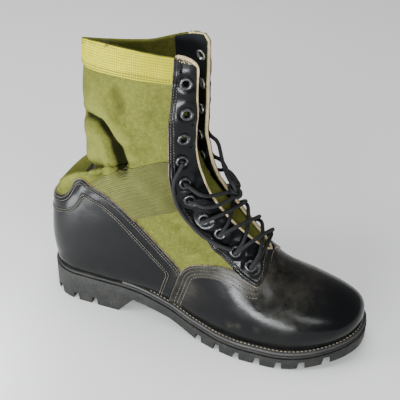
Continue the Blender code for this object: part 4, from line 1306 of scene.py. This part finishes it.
def plain_finish(name, colour, roughness, grain, depth, spread=0.25, metallic=0.0):
    """A finish with soft tone changes and a grain of its own."""
    look = Finish(name, roughness=roughness, metallic=metallic)
    tone = look.mix(look.ramp(look.noise(grain / 8, 4.0), 0.3, 0.7), shade(colour, 1 - spread),
                    shade(colour, 1 + spread))
    tone = look.mix(look.ramp(look.noise(grain, 2.0), 0.5, 0.75, 0.0, 0.4), tone, shade(colour, 1.6))
    rough = look.ramp(look.noise(grain / 4, 3.0), 0.3, 0.7, roughness - 0.1, min(roughness + 0.1, 1.0))
    return look.finish(tone, rough, look.bump(look.noise(grain, 3.0), depth, 0.6))


def lace_finish():
    """Round braided black cord."""
    look = Finish("black_lace", roughness=0.75, specular=0.25)
    lay = look.parts(look.vector("lay"))
    turn = look.math("ARCTAN2", lay[2], lay[1])
    one = look.wave(look.math("MULTIPLY_ADD", lay[0], 1.3, turn), 2 * pi / 4)
    two = look.wave(look.math("MULTIPLY_ADD", lay[0], -1.3, turn), 2 * pi / 4)
    braid = look.math("MAXIMUM", one, two)
    tone = look.mix(braid, (0.002, 0.002, 0.002), (0.014, 0.014, 0.015))
    tone = look.mix(look.ramp(look.noise(500.0, 3.0), 0.55, 0.8, 0.0, 0.5), tone, (0.06, 0.058, 0.055))
    return look.finish(tone, None, look.bump(braid, 0.0004, 0.8))


def metal_finish():
    """Black enamelled metal, rubbed bright in random patches."""
    look = Finish("eyelet_metal", roughness=0.22, metallic=0.55, specular=0.6, coat=0.3)
    worn = look.ramp(look.noise(420.0, 4.0, 0.7), 0.56, 0.72, 0.0, 0.6)
    tone = look.mix(worn, (0.025, 0.026, 0.030), (0.22, 0.22, 0.22))
    rough = look.ramp(look.noise(200.0, 3.0), 0.3, 0.7, 0.16, 0.34)
    return look.finish(tone, rough, look.bump(look.noise(900.0, 2.0), 0.0001, 0.4))


def finishes():
    """Return the boot's materials by name, made once."""
    if "finishes" not in MADE:
        colours = bpy.context.scene.boot_colours
        MADE["finishes"] = {
            "canvas": canvas_finish(),
            "collar": webbing_finish("collar_webbing", tuple(colours.webbing), 2.1, 1.9, 0.55),
            "ankle": webbing_finish("ankle_webbing", tuple(colours.ankle), 1.8, 2.3, 0.15),
            "leather": leather_finish("vamp_leather", 0.20, 0.7),
            "counter": leather_finish("counter_leather", 0.22, 0.6, COUNTER_ROWS),
            "stay": leather_finish("eyestay_leather", 0.19, 0.3, EYESTAY_ROWS),
            # Painted light: the facings lie in shade inside the flaps, so their leather is painted six times
            # paler than the rest.
            "lining": leather_finish("facing_leather", 0.30, 0.5, painted_light_gain=6.0),
            "rubber": rubber_finish(),
            "edge": plain_finish("cut_edge", tuple(colours.cut_edge), 0.9, 700.0, 0.0003, 0.2),
            "counter_thread": plain_finish("counter_thread", (0.085, 0.078, 0.060), 0.7, 1500.0, 0.0001, 0.4),
            "stay_thread": plain_finish("eyestay_thread", (0.050, 0.048, 0.040), 0.6, 1500.0, 0.0001, 0.3),
            "olive_thread": plain_finish("olive_thread", (0.060, 0.056, 0.025), 0.7, 1500.0, 0.0001),
            "welt_thread": plain_finish("welt_thread", (0.150, 0.130, 0.095), 0.8, 900.0, 0.0001, 0.4),
            "tan_thread": plain_finish("frayed_thread", (0.50, 0.40, 0.24), 0.85, 900.0, 0.0001),
            "welt": plain_finish("welt_leather", (0.015, 0.014, 0.013), 0.55, 500.0, 0.0003, 0.4),
            "insole": plain_finish("insole_lining", (0.13, 0.115, 0.060), 0.9, 500.0, 0.0003, 0.3),
            "lace": lace_finish(),
            "metal": metal_finish(),
            "washer": plain_finish("washer_metal", (0.42, 0.42, 0.41), 0.35, 400.0, 0.0001, 0.3, 0.9),
        }
    return MADE["finishes"]


def eyelet_spot(side, number, lift):
    """Return a point over an eyelet's middle, and the eyelet's normal."""
    point, normal = side_place(*eyelet_places(side)[number - 1], side)
    return point + normal * (GAP + LEATHER_WALL + lift), normal


def lace_start(side, number, lift):
    """Return the middle of the lace where it lies on an eyelet, and the eyelet's normal."""
    return eyelet_spot(side, number, EYELET_HEIGHT + lift + LACE_DIAMETER / 2)


def loop_path(side, number, points):
    """Points of a loop that lies on its eyelet's rim, and then goes its own way."""
    start, normal = lace_start(side, number, 0.0)
    ahead = Vector(points[0]) - start
    ahead -= normal * ahead.dot(normal)
    rim = start + ahead.normalized() * EYELET_RADIUS
    return smooth_line(smooth_path([start, rim, *points], LACE_SPACING), CORD_SMOOTHINGS)


class BOOT_OT_stage(bpy.types.Operator):
    """Place the camera, the floor and the studio lights"""

    bl_idname = "boot.stage"
    bl_label = "Stage"

    def execute(self, context):
        stage = context.scene.boot_stage
        camera = bpy.data.objects.new("camera", bpy.data.cameras.new("camera"))
        camera.data.lens = stage.lens
        camera.data.sensor_width = 36.0
        place, aim = Vector(stage.camera_place), Vector(stage.camera_aim)
        roll = Matrix.Rotation(stage.camera_roll, 3, "Z").to_quaternion()
        camera.location = place
        camera.rotation_mode = "QUATERNION"
        camera.rotation_quaternion = (aim - place).to_track_quat("-Z", "Y") @ roll
        context.scene.collection.objects.link(camera)
        context.scene.camera = camera
        corners = [(x * FLOOR_REACH, y * FLOOR_REACH, 0) for x, y in ((-1, -1), (1, -1), (1, 1), (-1, 1))]
        floor = bpy.data.objects.new("floor", new_mesh("floor", corners, [(0, 1, 2, 3)]))
        look = Finish("pale_floor", roughness=0.9)
        floor.data.materials.append(look.finish(tuple(stage.floor)))
        context.scene.collection.objects.link(floor)
        for name, spot, wide, high, power, colour in LIGHTS:
            lamp = bpy.data.lights.new(name, "AREA")
            lamp.shape = "RECTANGLE"
            lamp.size = wide
            lamp.size_y = high
            lamp.energy = power
            lamp.color = colour
            made = bpy.data.objects.new(name, lamp)
            made.location = spot
            made.rotation_mode = "QUATERNION"
            made.rotation_quaternion = (Vector(LIT_PLACE) - Vector(spot)).to_track_quat("-Z", "Y")
            context.scene.collection.objects.link(made)
        world = bpy.data.worlds.new("studio")
        world.use_nodes = True
        world.node_tree.nodes["Background"].inputs["Color"].default_value = WORLD_COLOUR
        world.node_tree.nodes["Background"].inputs["Strength"].default_value = WORLD_STRENGTH
        context.scene.world = world
        return {"FINISHED"}


class BOOT_OT_laces(bpy.types.Operator):
    """Run the lace over the throat, with its loops and its knot"""

    bl_idname = "boot.laces"
    bl_label = "Laces"

    def execute(self, context):
        look = finishes()["lace"]
        radius = context.scene.boot_sizes.lace / 2
        turns = []
        knot = Vector(KNOT_PLACE)
        upward = Vector((-sin(radians(KNOT_TILT)), 0, cos(radians(KNOT_TILT))))
        outward = Vector((cos(radians(KNOT_TILT)), 0, sin(radians(KNOT_TILT))))
        bends = []
        for i in range(KNOT_STEPS):
            angle = 2 * pi * i / (KNOT_STEPS - 1)
            ring = KNOT_RADIUS + KNOT_WAVE * cos(3 * angle)
            bends.append(knot + Vector((0, 1, 0)) * ring * cos(2 * angle) + upward * ring * sin(2 * angle)
                         + outward * KNOT_WAVE * sin(3 * angle))
        ear = [knot + Vector((0, across, 0)) + outward * out + upward * up for across, out, up in KNOT_EAR]
        knot_mesh = tube_mesh("lace_knot_tied", [bends, smooth_path(ear, TURN_SPACING)], radius * 0.95)
        knot_piece = new_object("lace_knot_tied", knot_mesh, look, "lace", "lace_knot")
        reach = KNOT_RADIUS + KNOT_CORD + GAP
        routes = []
        for name, side, number, angle, between in LOOPS:
            spoke = Vector((0, cos(radians(angle)), 0)) + upward * sin(radians(angle))
            ends = [knot + spoke * (reach + LACE_DIAMETER), knot + spoke * reach]
            routes.append((name, side, number, [*between, *ends], "knot", "hanging"))
        routes.append((*HANGING_LOOP, "bare", "hanging"))
        for i, (name, side, number, between, end, lay) in enumerate(routes):
            line = loop_path(side, number, between)
            piece = new_object(name + "_cord", tube_mesh(name + "_cord", [line], radius), look, "lace", name)
            hole, normal = eyelet_spot(side, number, 0.0)
            inward = [hole - normal * EYELET_DEPTH, hole - normal * 0.001, Vector(line[0])]
            turns.append(smooth_path(inward, TURN_SPACING))
        new_object("lace_turns", tube_mesh("lace_turns", turns, radius * 0.98), look, "lace")
        self.cross(look, radius)
        return {"FINISHED"}

    def cross(self, look, radius):
        """Make the crossings and the lowest bar, from hole to hole."""
        pairs = []
        for row in CROSSED_ROWS:
            pairs.append((("outer", row), ("inner", row + 1), 1.0))
            pairs.append((("inner", row), ("outer", row + 1), 0.72))
        last = CROSSED_ROWS[-1] + 1
        pairs.append((("outer", last), ("inner", last), 0.55))
        lines = []
        for first, second, bulge in pairs:
            start, start_out = lace_start(*first, CROSSING_LIFT)
            end, end_out = lace_start(*second, CROSSING_LIFT)
            out = start_out + end_out
            ahead = (end - start).normalized()
            out = (out - ahead * out.dot(ahead)).normalized()
            steps = 7
            points = [eyelet_spot(*first, lift)[0] for lift in (-EYELET_DEPTH, 0.0004)]
            for i in range(steps + 1):
                share = i / steps
                points.append(start.lerp(end, share)
                              + out * LACE_BULGE * bulge * (4 * share * (1 - share)) ** LACE_FLATNESS)
            points += [eyelet_spot(*second, lift)[0] for lift in (0.0004, -EYELET_DEPTH)]
            lines.append(smooth_path(points, LACE_SPACING))
        new_object("lace_crossed", tube_mesh("lace_crossed", lines, radius), look, "lace", "lace_crossings")


class BOOT_OT_canvas(bpy.types.Operator):
    """Make the canvas upper, the tongue and the insole"""

    bl_idname = "boot.canvas"
    bl_label = "Canvas"

    def execute(self, context):
        look = finishes()["canvas"]
        surface = upper_surface()
        surface, _ = pierce(surface, np.ones(len(surface.rows)), SIDES)
        values = {"cloth": cloth_place(surface), "fold": surface.value("fold") * 1000}
        mesh = new_mesh("canvas_upper", surface.points, surface.faces, values)
        thicken(new_object("canvas_upper", mesh, look, "canvas", "upper"), UPPER_WALL)
        self.tongue(look)
        self.insole(finishes()["insole"])
        return {"FINISHED"}

    def tongue(self, look):
        """Make the canvas sheet behind the throat, with its soft pleats."""
        rows = np.linspace(TONGUE_FROM, TONGUE_TO, 120)
        value = sections(rows)
        grid = []
        for side in SIDES:
            reach = np.minimum(TONGUE_WIDTH / 2 / value[side], 0.97) ** (value["crown"] / 2)
            turns = (np.arcsin(reach) / pi)[:, None] * np.linspace(0, 1, 60)
            points, _ = even(section_points(value, turns, side), 18)
            grid.append(points)
        grid = np.concatenate([grid[0][:, ::-1], grid[1][:, 1:]], axis=1)
        across = np.gradient(grid, axis=1)
        normal = np.cross(np.gradient(grid, axis=0), across)
        normal /= np.linalg.norm(normal, axis=2)[..., None]
        if normal[60, 17, 0] < 0:
            normal = -normal
        u, v = np.meshgrid(np.linspace(0, 1, grid.shape[0]), np.linspace(-1, 1, grid.shape[1]), indexing="ij")
        pleat = (0.0012 * np.exp(-((v - 0.35 - 0.2 * u) / 0.16) ** 2)
                 - 0.0016 * np.exp(-((v + 0.25 + 0.25 * u) / 0.14) ** 2)
                 + 0.0006 * np.sin(9 * u + 4 * v)) * blend(0.05, 0.3, u)
        grid = grid - normal * (UPPER_WALL + TONGUE_CLEARANCE - pleat)[..., None]
        lean = np.clip((grid[..., 2] - 0.095) / 0.160, 0, 1) ** 1.3
        grid[..., 0] -= 0.030 * lean
        grid[..., 1] = grid[..., 1] * (1 - 0.40 * lean) + 0.005 * lean
        cloth = np.stack([v * 25, u * 260, 0 * u], -1).reshape(-1, 3)
        mesh = new_mesh("tongue_canvas", grid.reshape(-1, 3), grid_faces(*grid.shape[:2]),
                        {"cloth": cloth, "fold": (pleat * 1500).ravel()})
        thicken(new_object("tongue_canvas", mesh, look, "canvas", "tongue"), TONGUE_WALL, 0)

    def insole(self, look):
        """Make the lining that lies on the midsole."""
        inset = FEATHER_INSET_WELT + UPPER_WALL + 0.0015
        places = at_share(0.0) + inset + (SOLE_LENGTH - 2 * inset) * (1 - np.cos(np.linspace(0, pi, 90))) / 2
        shares = np.linspace(0, 1, 21)
        points = []
        for x in places:
            low = swing(x) - plan_half(x, "outer", inset)
            high = swing(x) + plan_half(x, "inner", inset)
            points += [(x, low + (high - low) * share, midsole_top(x) + GAP + INSOLE_THICKNESS
                        + 0.0025 * (2 * share - 1) ** 4) for share in shares]
        count = len(shares)
        faces = [(i * count + j, (i + 1) * count + j, (i + 1) * count + j + 1, i * count + j + 1)
                 for i in range(len(places) - 1) for j in range(count - 1)]
        mesh = new_mesh("insole_sheet", points, faces)
        thicken(new_object("insole_sheet", mesh, look, "insole", "insole"), INSOLE_THICKNESS * 0.8)


class BOOT_OT_leather(bpy.types.Operator):
    """Lay the leather vamp, counter and eyestays on the upper"""

    bl_idname = "boot.leather"
    bl_label = "Leather"

    def execute(self, context):
        looks = finishes()
        panel("counter_leather", looks["counter"], "leather", COUNTER, SIDES, PANEL_LIFT, LEATHER_WALL,
              PANEL_ROUNDING, ("counter",), under=((ANKLE_BAND, BAND_WALL),))
        panel("vamp_leather", looks["leather"], "leather", VAMP, SIDES, PANEL_LIFT, LEATHER_WALL,
              PANEL_ROUNDING, ("vamp",), under=((COUNTER, LEATHER_WALL),))
        for side in SIDES:
            panel("eyestay_leather_" + side, looks["stay"], "leather", EYESTAY, (side,), EYESTAY_LIFT,
                  LEATHER_WALL, BAND_ROUNDING, ("eyestay_" + side,), True,
                  under=((VAMP, LEATHER_WALL), (COLLAR_BAND, BAND_WALL), (ANKLE_BAND, BAND_WALL)))
            panel("eyestay_facing_" + side, looks["lining"], "leather", FACING, (side,), PANEL_LIFT,
                  FACING_WALL, FACING_ROUNDING, (), True, -1)
        return {"FINISHED"}


class BOOT_OT_webbing(bpy.types.Operator):
    """Lay the webbing bands on the collar and the ankle"""

    bl_idname = "boot.webbing"
    bl_label = "Webbing"

    def execute(self, context):
        looks = finishes()
        panel("collar_webbing", looks["collar"], "webbing", COLLAR_BAND, SIDES, PANEL_LIFT, COLLAR_WALL,
              BAND_ROUNDING, ("collar_band",), guide=COLLAR_BOTTOM)
        for side in SIDES:
            panel("ankle_webbing_" + side, looks["ankle"], "webbing", ANKLE_BAND, (side,), PANEL_LIFT,
                  BAND_WALL, BAND_ROUNDING, ("ankle_band_" + side,), guide=ANKLE_TOP)
        return {"FINISHED"}


class BOOT_OT_edges(bpy.types.Operator):
    """Run the raw cut edge down both sides of the throat"""

    bl_idname = "boot.edges"
    bl_label = "Cut Edges"

    def execute(self, context):
        for side, sign in SIDES.items():
            rim = throat_rim(side)
            points = smooth_line(rim[:, :3], 6)
            normals = smooth_line(rim[:, 3:6], 6)
            points, normals = spaced(points, 0.0012, (normals,))
            ahead = np.gradient(points, axis=0)
            outward = np.cross(ahead, normals) * sign
            outward /= np.linalg.norm(outward, axis=1)[:, None]
            if (outward[len(points) // 2, 1] * sign) > 0:
                outward = -outward
            low, high = -(UPPER_WALL - 0.0001), LEATHER_WALL - 0.0004
            reach = EDGE_REACH[side]
            section = [(0.0, low), (reach - 0.0003, low + 0.0002), (reach, low + 0.0008),
                       (reach, high - 0.0008), (reach - 0.0003, high - 0.0002), (reach - 0.0009, high),
                       (-0.0012, high), (-0.0012, low)]
            mesh_points = []
            for k, (point, normal, out) in enumerate(zip(points, normals, outward)):
                for m, (aside, up) in enumerate(section):
                    rough = noise.noise(Vector((k * 0.31, m * 1.7, sign * 3.0))) * 0.00016
                    mesh_points.append(point + out * (aside + rough) + normal * up)
            count = len(section)
            faces = [(i * count + j, i * count + (j + 1) % count, (i + 1) * count + (j + 1) % count,
                      (i + 1) * count + j) for i in range(len(points) - 1) for j in range(count)]
            faces += [tuple(reversed(range(count))),
                      tuple(range((len(points) - 1) * count, len(points) * count))]
            name = "cut_edge_" + side
            mesh = new_mesh(name, mesh_points, faces)
            turn_out(mesh)
            new_object(name, mesh, finishes()["edge"], "leather")
        return {"FINISHED"}


class BOOT_OT_eyelets(bpy.types.Operator):
    """Set the eyelets down both eyestays"""

    bl_idname = "boot.eyelets"
    bl_label = "Eyelets"

    def execute(self, context):
        points, faces = [], []
        count = len(EYELET_PROFILE)
        for turn in range(EYELET_TURNS):
            angle = 2 * pi * turn / EYELET_TURNS
            points += [(radius * cos(angle), radius * sin(angle), height)
                       for radius, height in EYELET_PROFILE]
            after = (turn + 1) % EYELET_TURNS
            for k in range(count):
                a, b = k, (k + 1) % count
                faces.append((turn * count + a, after * count + a, after * count + b, turn * count + b))
        mesh = new_mesh("eyelet", points, faces)
        turn_out(mesh)
        mesh.materials.append(finishes()["metal"])
        mesh.materials.append(finishes()["washer"])
        for face in mesh.polygons:
            face.material_index = int(face.center.z < WASHER_TOP)
        for side in SIDES:
            for number in range(1, len(EYELETS) + 1):
                spot, normal = eyelet_spot(side, number, 0.0)
                made = bpy.data.objects.new(f"eyelet_ring_{side}_{number}", mesh)
                context.scene.collection.objects.link(made)
                turn = normal.to_track_quat("Z", "Y").to_matrix().to_4x4()
                made.matrix_world = Matrix.Translation(spot) @ turn
                context.view_layer.update()
                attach(made, "root")
                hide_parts(f"eyelet_{side}_{number}")
        return {"FINISHED"}


class BOOT_OT_stitches(bpy.types.Operator):
    """Sew the seams of the panels and bands"""

    bl_idname = "boot.stitches"
    bl_label = "Stitches"

    def execute(self, context):
        looks = finishes()
        sizes = context.scene.boot_sizes
        pitch, thread = sizes.stitch_pitch, sizes.thread

        def clear(points, *tables):
            """Places over the welt, and not under the named panels."""
            open_places = points[:, 2] > welt_top(points[:, 0]) + 0.004
            for table in tables:
                open_places &= outline_field(points[:, [0, 2]], table) < 0.0003
            return open_places

        def by_the_throat(points):
            """Places on the eyestay, and not over the flap's top."""
            ahead = points[:, 0] - at_share(0.4) < 0.62 * (0.262 - points[:, 2]) + 0.004
            return ahead & (points[:, 0] < at_share(0.70)) & (points[:, 2] < BOOT_HEIGHT * 1.02)

        def on_the_wing(points):
            """Places on the vamp's wing, away from its middle."""
            aside = np.abs(points[:, 1] - swing(points[:, 0])) > 0.02
            ahead = (points[:, 0] > at_share(0.40)) & (points[:, 0] < at_share(0.705))
            return clear(points, EYESTAY) & ahead & aside

        def on_the_band(points):
            """Places on the ankle band, inside its edge."""
            return clear(points, EYESTAY, COUNTER) & (outline_field(points[:, [0, 2]], ANKLE_BAND) > 0.0012)

        def under_the_top(points):
            """Distance to the ankle band's upper edge."""
            return line_distance(points[:, [0, 2]], soften(in_metres(ANKLE_TOP), 2, False))

        seam("counter_stitches", looks["counter_thread"], "leather",
             contour(inside(COUNTER), COUNTER_ROWS, lambda p: clear(p, VAMP, EYESTAY)),
             ON_LEATHER, pitch, thread)
        seam("eyestay_stitches", looks["stay_thread"], "leather",
             contour(inside(EYESTAY), EYESTAY_ROWS, by_the_throat), ON_EYESTAY, pitch, thread)
        seam("wing_stitches", looks["counter_thread"], "leather",
             contour(inside(VAMP), WING_ROWS, on_the_wing), ON_LEATHER, pitch, thread)
        seam("collar_stitches", looks["olive_thread"], "webbing",
             contour(inside(COLLAR_BAND), COLLAR_ROWS, lambda p: clear(p, EYESTAY)), ON_COLLAR, pitch, thread)
        seam("ankle_stitches", looks["olive_thread"], "webbing",
             contour(under_the_top, ANKLE_ROWS, on_the_band), ON_ANKLE, pitch * 0.8, thread * 0.8)
        seam("ankle_edge_stitches", looks["olive_thread"], "webbing",
             contour(inside(ANKLE_BAND), ANKLE_EDGE_ROWS,
                     lambda p: clear(p, EYESTAY, COUNTER) & (p[:, 0] < at_share(0.42))),
             ON_ANKLE_EDGE, pitch, thread)
        self.collar_top(looks["olive_thread"], pitch, thread)
        return {"FINISHED"}

    def collar_top(self, look, pitch, thread):
        """Sew two rows just under the collar's top."""
        surface = upper_surface()
        top = surface.value("row").max()
        rows = []
        for side, sign in SIDES.items():
            rim = (surface.value("row") > top - 1e-4) & (sign * surface.points[:, 1] > -0.0005)
            line = surface.rows[rim][np.argsort(surface.value("around")[rim])]
            line = line[line[:, 0] < at_share(0.412)]
            for drop in COLLAR_TOP_ROWS:
                rows.append((line[:, :3] + line[:, 3:6] * ON_COLLAR - np.array((0, 0, drop)), line[:, 3:6]))
        mesh = stitch_mesh("collar_top_stitches", rows, pitch, thread)
        new_object("collar_top_stitches", mesh, look, "webbing")


class BOOT_OT_sole(bpy.types.Operator):
    """Make the lugged outsole, the midsole and the stitched welt"""

    bl_idname = "boot.sole"
    bl_label = "Sole"

    def execute(self, context):
        looks = finishes()
        self.outsole(looks["rubber"])
        self.layer("midsole_layer", looks["rubber"], "rubber", "midsole", MIDSOLE_INSET,
                   lambda x: sole_top(x) + GAP, midsole_top, 0.0)
        self.layer("welt_strip", looks["welt"], "welt", "welt", MIDSOLE_INSET,
                   lambda x: midsole_top(x) + GAP, welt_top, WELT_FROM)
        sizes = context.scene.boot_sizes
        points = self.outline(MIDSOLE_INSET + 0.0030, WELT_FROM + 0.004)
        rows = [(np.column_stack([points, welt_top(points[:, 0]) + 0.0001]),
                 np.tile((0.0, 0.0, 1.0), (len(points), 1)))]
        new_object("welt_stitches", stitch_mesh("welt_stitches", rows, sizes.welt_pitch, 0.0010, 0.70),
                   looks["welt_thread"], "welt")
        return {"FINISHED"}

    def outline(self, inset, start=0.0):
        """Return the sole's outline drawn in by inset: the outer side, the toe and the inner side."""
        low, high = max(at_share(start), at_share(0.0) + inset), at_share(1.0) - inset
        places = low + (high - low) * (1 - np.cos(np.linspace(0, pi, OUTLINE_STEPS))) / 2
        if start > 0:
            places = low + (high - low) * np.sin(np.linspace(0, pi / 2, OUTLINE_STEPS))
        outer = np.column_stack([places, swing(places) - plan_half(places, "outer", inset)])
        inner = np.column_stack([places, swing(places) + plan_half(places, "inner", inset)])
        return np.vstack([outer, inner[-2::-1]])

    def layer(self, name, look, slot, node, inset, under, over, start):
        """Make a rounded layer of the sole's edge."""
        corner = 0.0008
        profile = ((0.014, 0.0), (corner, 0.0), (0.0003, 0.15), (0.0, 0.4), (0.0, 0.6), (0.0003, 0.85),
                   (corner, 1.0), (0.014, 1.0))
        loops = []
        for aside, share in profile:
            points = self.outline(inset + aside, start)
            low, high = under(points[:, 0]), over(points[:, 0])
            loops.append(np.column_stack([points, low + (high - low) * share]))
        count = len(loops[0])
        closed = start == 0.0
        faces = []
        for m in range(len(loops)):
            after = (m + 1) % len(loops)
            for k in range(count if closed else count - 1):
                ahead = (k + 1) % count
                faces.append((m * count + k, m * count + ahead, after * count + ahead, after * count + k))
        if not closed:
            faces.append(tuple(m * count for m in range(len(loops))))
            faces.append(tuple(m * count + count - 1 for m in reversed(range(len(loops)))))
        mesh = new_mesh(name, np.vstack(loops), faces)
        turn_out(mesh, 0.00001)
        new_object(name, mesh, look, slot, node)

    def cutter(self, name, solid):
        """Return an object of a solid, with its faces outward."""
        bmesh.ops.recalc_face_normals(solid, faces=solid.faces)
        mesh = bpy.data.meshes.new(name)
        solid.to_mesh(mesh)
        solid.free()
        made = bpy.data.objects.new(name, mesh)
        bpy.context.scene.collection.objects.link(made)
        return made

    def prism(self, name, corners, move):
        """Return an object from a face of corners to where move takes it."""
        solid = bmesh.new()
        face = solid.faces.new([solid.verts.new(corner) for corner in corners])
        grown = bmesh.ops.extrude_face_region(solid, geom=[face])
        far = [item for item in grown["geom"] if isinstance(item, bmesh.types.BMVert)]
        bmesh.ops.translate(solid, verts=far, vec=move)
        return self.cutter(name, solid)

    def grooves(self):
        """Return one cutter with every groove between the lugs."""
        solid = bmesh.new()

        def block(x, half, slant, low, high, start, end, skew=0.0):
            profile = ((x - half - slant, low), (x + half + slant, low), (x + half, high), (x - half, high))
            ends = [[solid.verts.new((px + skew * (y - start), y, pz)) for px, pz in profile]
                    for y in (start, end)]
            solid.faces.new(ends[0])
            solid.faces.new(ends[1][::-1])
            for k in range(4):
                solid.faces.new((ends[0][k], ends[1][k], ends[1][k - 3], ends[0][k - 3]))

        for start, count in GROOVES:
            for i in range(count):
                x = at_share(start) + i * LUG_PITCH
                top = float(sole_under(x)) + LUG_DEPTH
                for side, sign in SIDES.items():
                    edge = float(swing(x) + sign * plan_half(x, side, 0.0))
                    low, high = sorted((edge - sign * LUG_REACH, edge + sign * LUG_REACH))
                    block(x, GROOVE_WIDTH / 2, GROOVE_WIDTH * 0.3, -LUG_DEPTH, top, low, high)
                if 0.02 < x or x < -0.005:
                    for start_y, end_y, skew in ((-0.014, -0.0015, 0.3), (0.0015, 0.014, -0.3)):
                        block(x + LUG_PITCH / 2, GROOVE_WIDTH / 3, 0.0004, -LUG_DEPTH, top - 0.004,
                              start_y, end_y, skew)
        return self.cutter("grooves", solid)

    def outsole(self, look):
        """Make the outsole from its plan, its side view and the grooves."""
        plan = self.outline(0.0)[:-1]
        body = self.prism("lugged_outsole", [(x, y, -HEEL_HEIGHT) for x, y in plan], (0, 0, 4 * HEEL_HEIGHT))
        places = at_share(np.linspace(1.02, -0.02, 90))
        below = [(at_share(row[0]), float(sole_under(at_share(row[0])))) for row in SOLE]
        below[0] = (at_share(-0.02), below[0][1])
        below[-1] = (at_share(1.02), below[-1][1])
        side = below + [(x, float(sole_top(x))) for x in places]
        outline = self.prism("outsole_side", [(x, -BALL_WIDTH, z) for x, z in side], (0, 2 * BALL_WIDTH, 0))
        grooves = self.grooves()
        for cutter, operation in ((outline, "INTERSECT"), (grooves, "DIFFERENCE")):
            cut = body.modifiers.new(cutter.name, "BOOLEAN")
            cut.operation = operation
            cut.solver = "EXACT"
            cut.object = cutter
        soft = body.modifiers.new("soft_edges", "BEVEL")
        soft.width = 0.0007
        soft.segments = 2
        soft.limit_method = "ANGLE"
        soft.angle_limit = radians(32)
        graph = bpy.context.evaluated_depsgraph_get()
        mesh = bpy.data.meshes.new_from_object(body.evaluated_get(graph))
        for spent in (body, outline, grooves):
            bpy.data.objects.remove(spent, do_unlink=True)
        mesh.name = "outsole_rubber"
        mesh.shade_smooth()
        mesh.set_sharp_from_angle(angle=radians(38))
        new_object("outsole_rubber", mesh, look, "rubber", "outsole")


class BOOT_OT_frays(bpy.types.Operator):
    """Fray the thread ends at the collar and the eyestay's top"""

    bl_idname = "boot.frays"
    bl_label = "Frayed Threads"

    def execute(self, context):
        draw = random.Random(context.scene.boot_sizes.seed)
        surface = upper_surface()
        row = surface.value("row")
        rims = {"collar": surface.rows[row > row.max() - 1e-4], "throat": throat_rim("outer")}
        for name, look, edge, spot, reach, count, length, radius in FRAYS:
            rim = rims[edge]
            near = rim[np.argsort(np.linalg.norm(rim[:, :3] - spot, axis=1))[:reach]]
            lines = []
            for _ in range(count):
                root = near[draw.randrange(len(near))]
                point = Vector(root[:3]) + Vector(root[3:6]) * draw.uniform(-0.0012, 0.0012)
                heading = Vector((draw.uniform(-1, 1), draw.uniform(-1, 1), draw.uniform(0.1, 1.0)))
                heading.normalize()
                line = [point - Vector((0, 0, 0.001))]
                for _ in range(FRAY_STEPS):
                    heading = (heading + Vector((draw.uniform(-0.5, 0.5), draw.uniform(-0.5, 0.5),
                                                 draw.uniform(-0.5, 0.35)))).normalized()
                    line.append(line[-1] + heading * length / FRAY_STEPS * draw.uniform(0.5, 1.1))
                lines.append(smooth_path(line, length / 14))
            new_object(name, tube_mesh(name, lines, radius, 5), finishes()[look], "canvas")
        return {"FINISHED"}


class BOOT_PT_boot(bpy.types.Panel):
    """The boot's sizes, colours and steps"""

    bl_idname = "BOOT_PT_boot"
    bl_label = "Jungle Boot"
    bl_space_type = "VIEW_3D"
    bl_region_type = "UI"
    bl_category = "Boot"

    def draw(self, context):
        for group in (context.scene.boot_sizes, context.scene.boot_colours, context.scene.boot_stage):
            box = self.layout.box()
            for name in group.__annotations__:
                box.prop(group, name)
        for step in STEPS:
            self.layout.operator(step.bl_idname)


GROUPS = (("boot_sizes", BootSizes), ("boot_colours", BootColours), ("boot_stage", BootStage))
STEPS = (BOOT_OT_stage, BOOT_OT_laces, BOOT_OT_canvas, BOOT_OT_leather, BOOT_OT_webbing, BOOT_OT_edges,
         BOOT_OT_eyelets, BOOT_OT_stitches, BOOT_OT_sole, BOOT_OT_frays)


def register():
    for name, group in GROUPS:
        bpy.utils.register_class(group)
        setattr(bpy.types.Scene, name, PointerProperty(type=group))
    for kind in (*STEPS, BOOT_PT_boot):
        bpy.utils.register_class(kind)


def unregister():
    for kind in reversed((*STEPS, BOOT_PT_boot)):
        bpy.utils.unregister_class(kind)
    for name, group in reversed(GROUPS):
        delattr(bpy.types.Scene, name)
        bpy.utils.unregister_class(group)


def main():
    """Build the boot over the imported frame."""
    register()
    for step in STEPS:
        area, name = step.bl_idname.split(".")
        getattr(getattr(bpy.ops, area), name)()


if __name__ == "__main__":
    main()
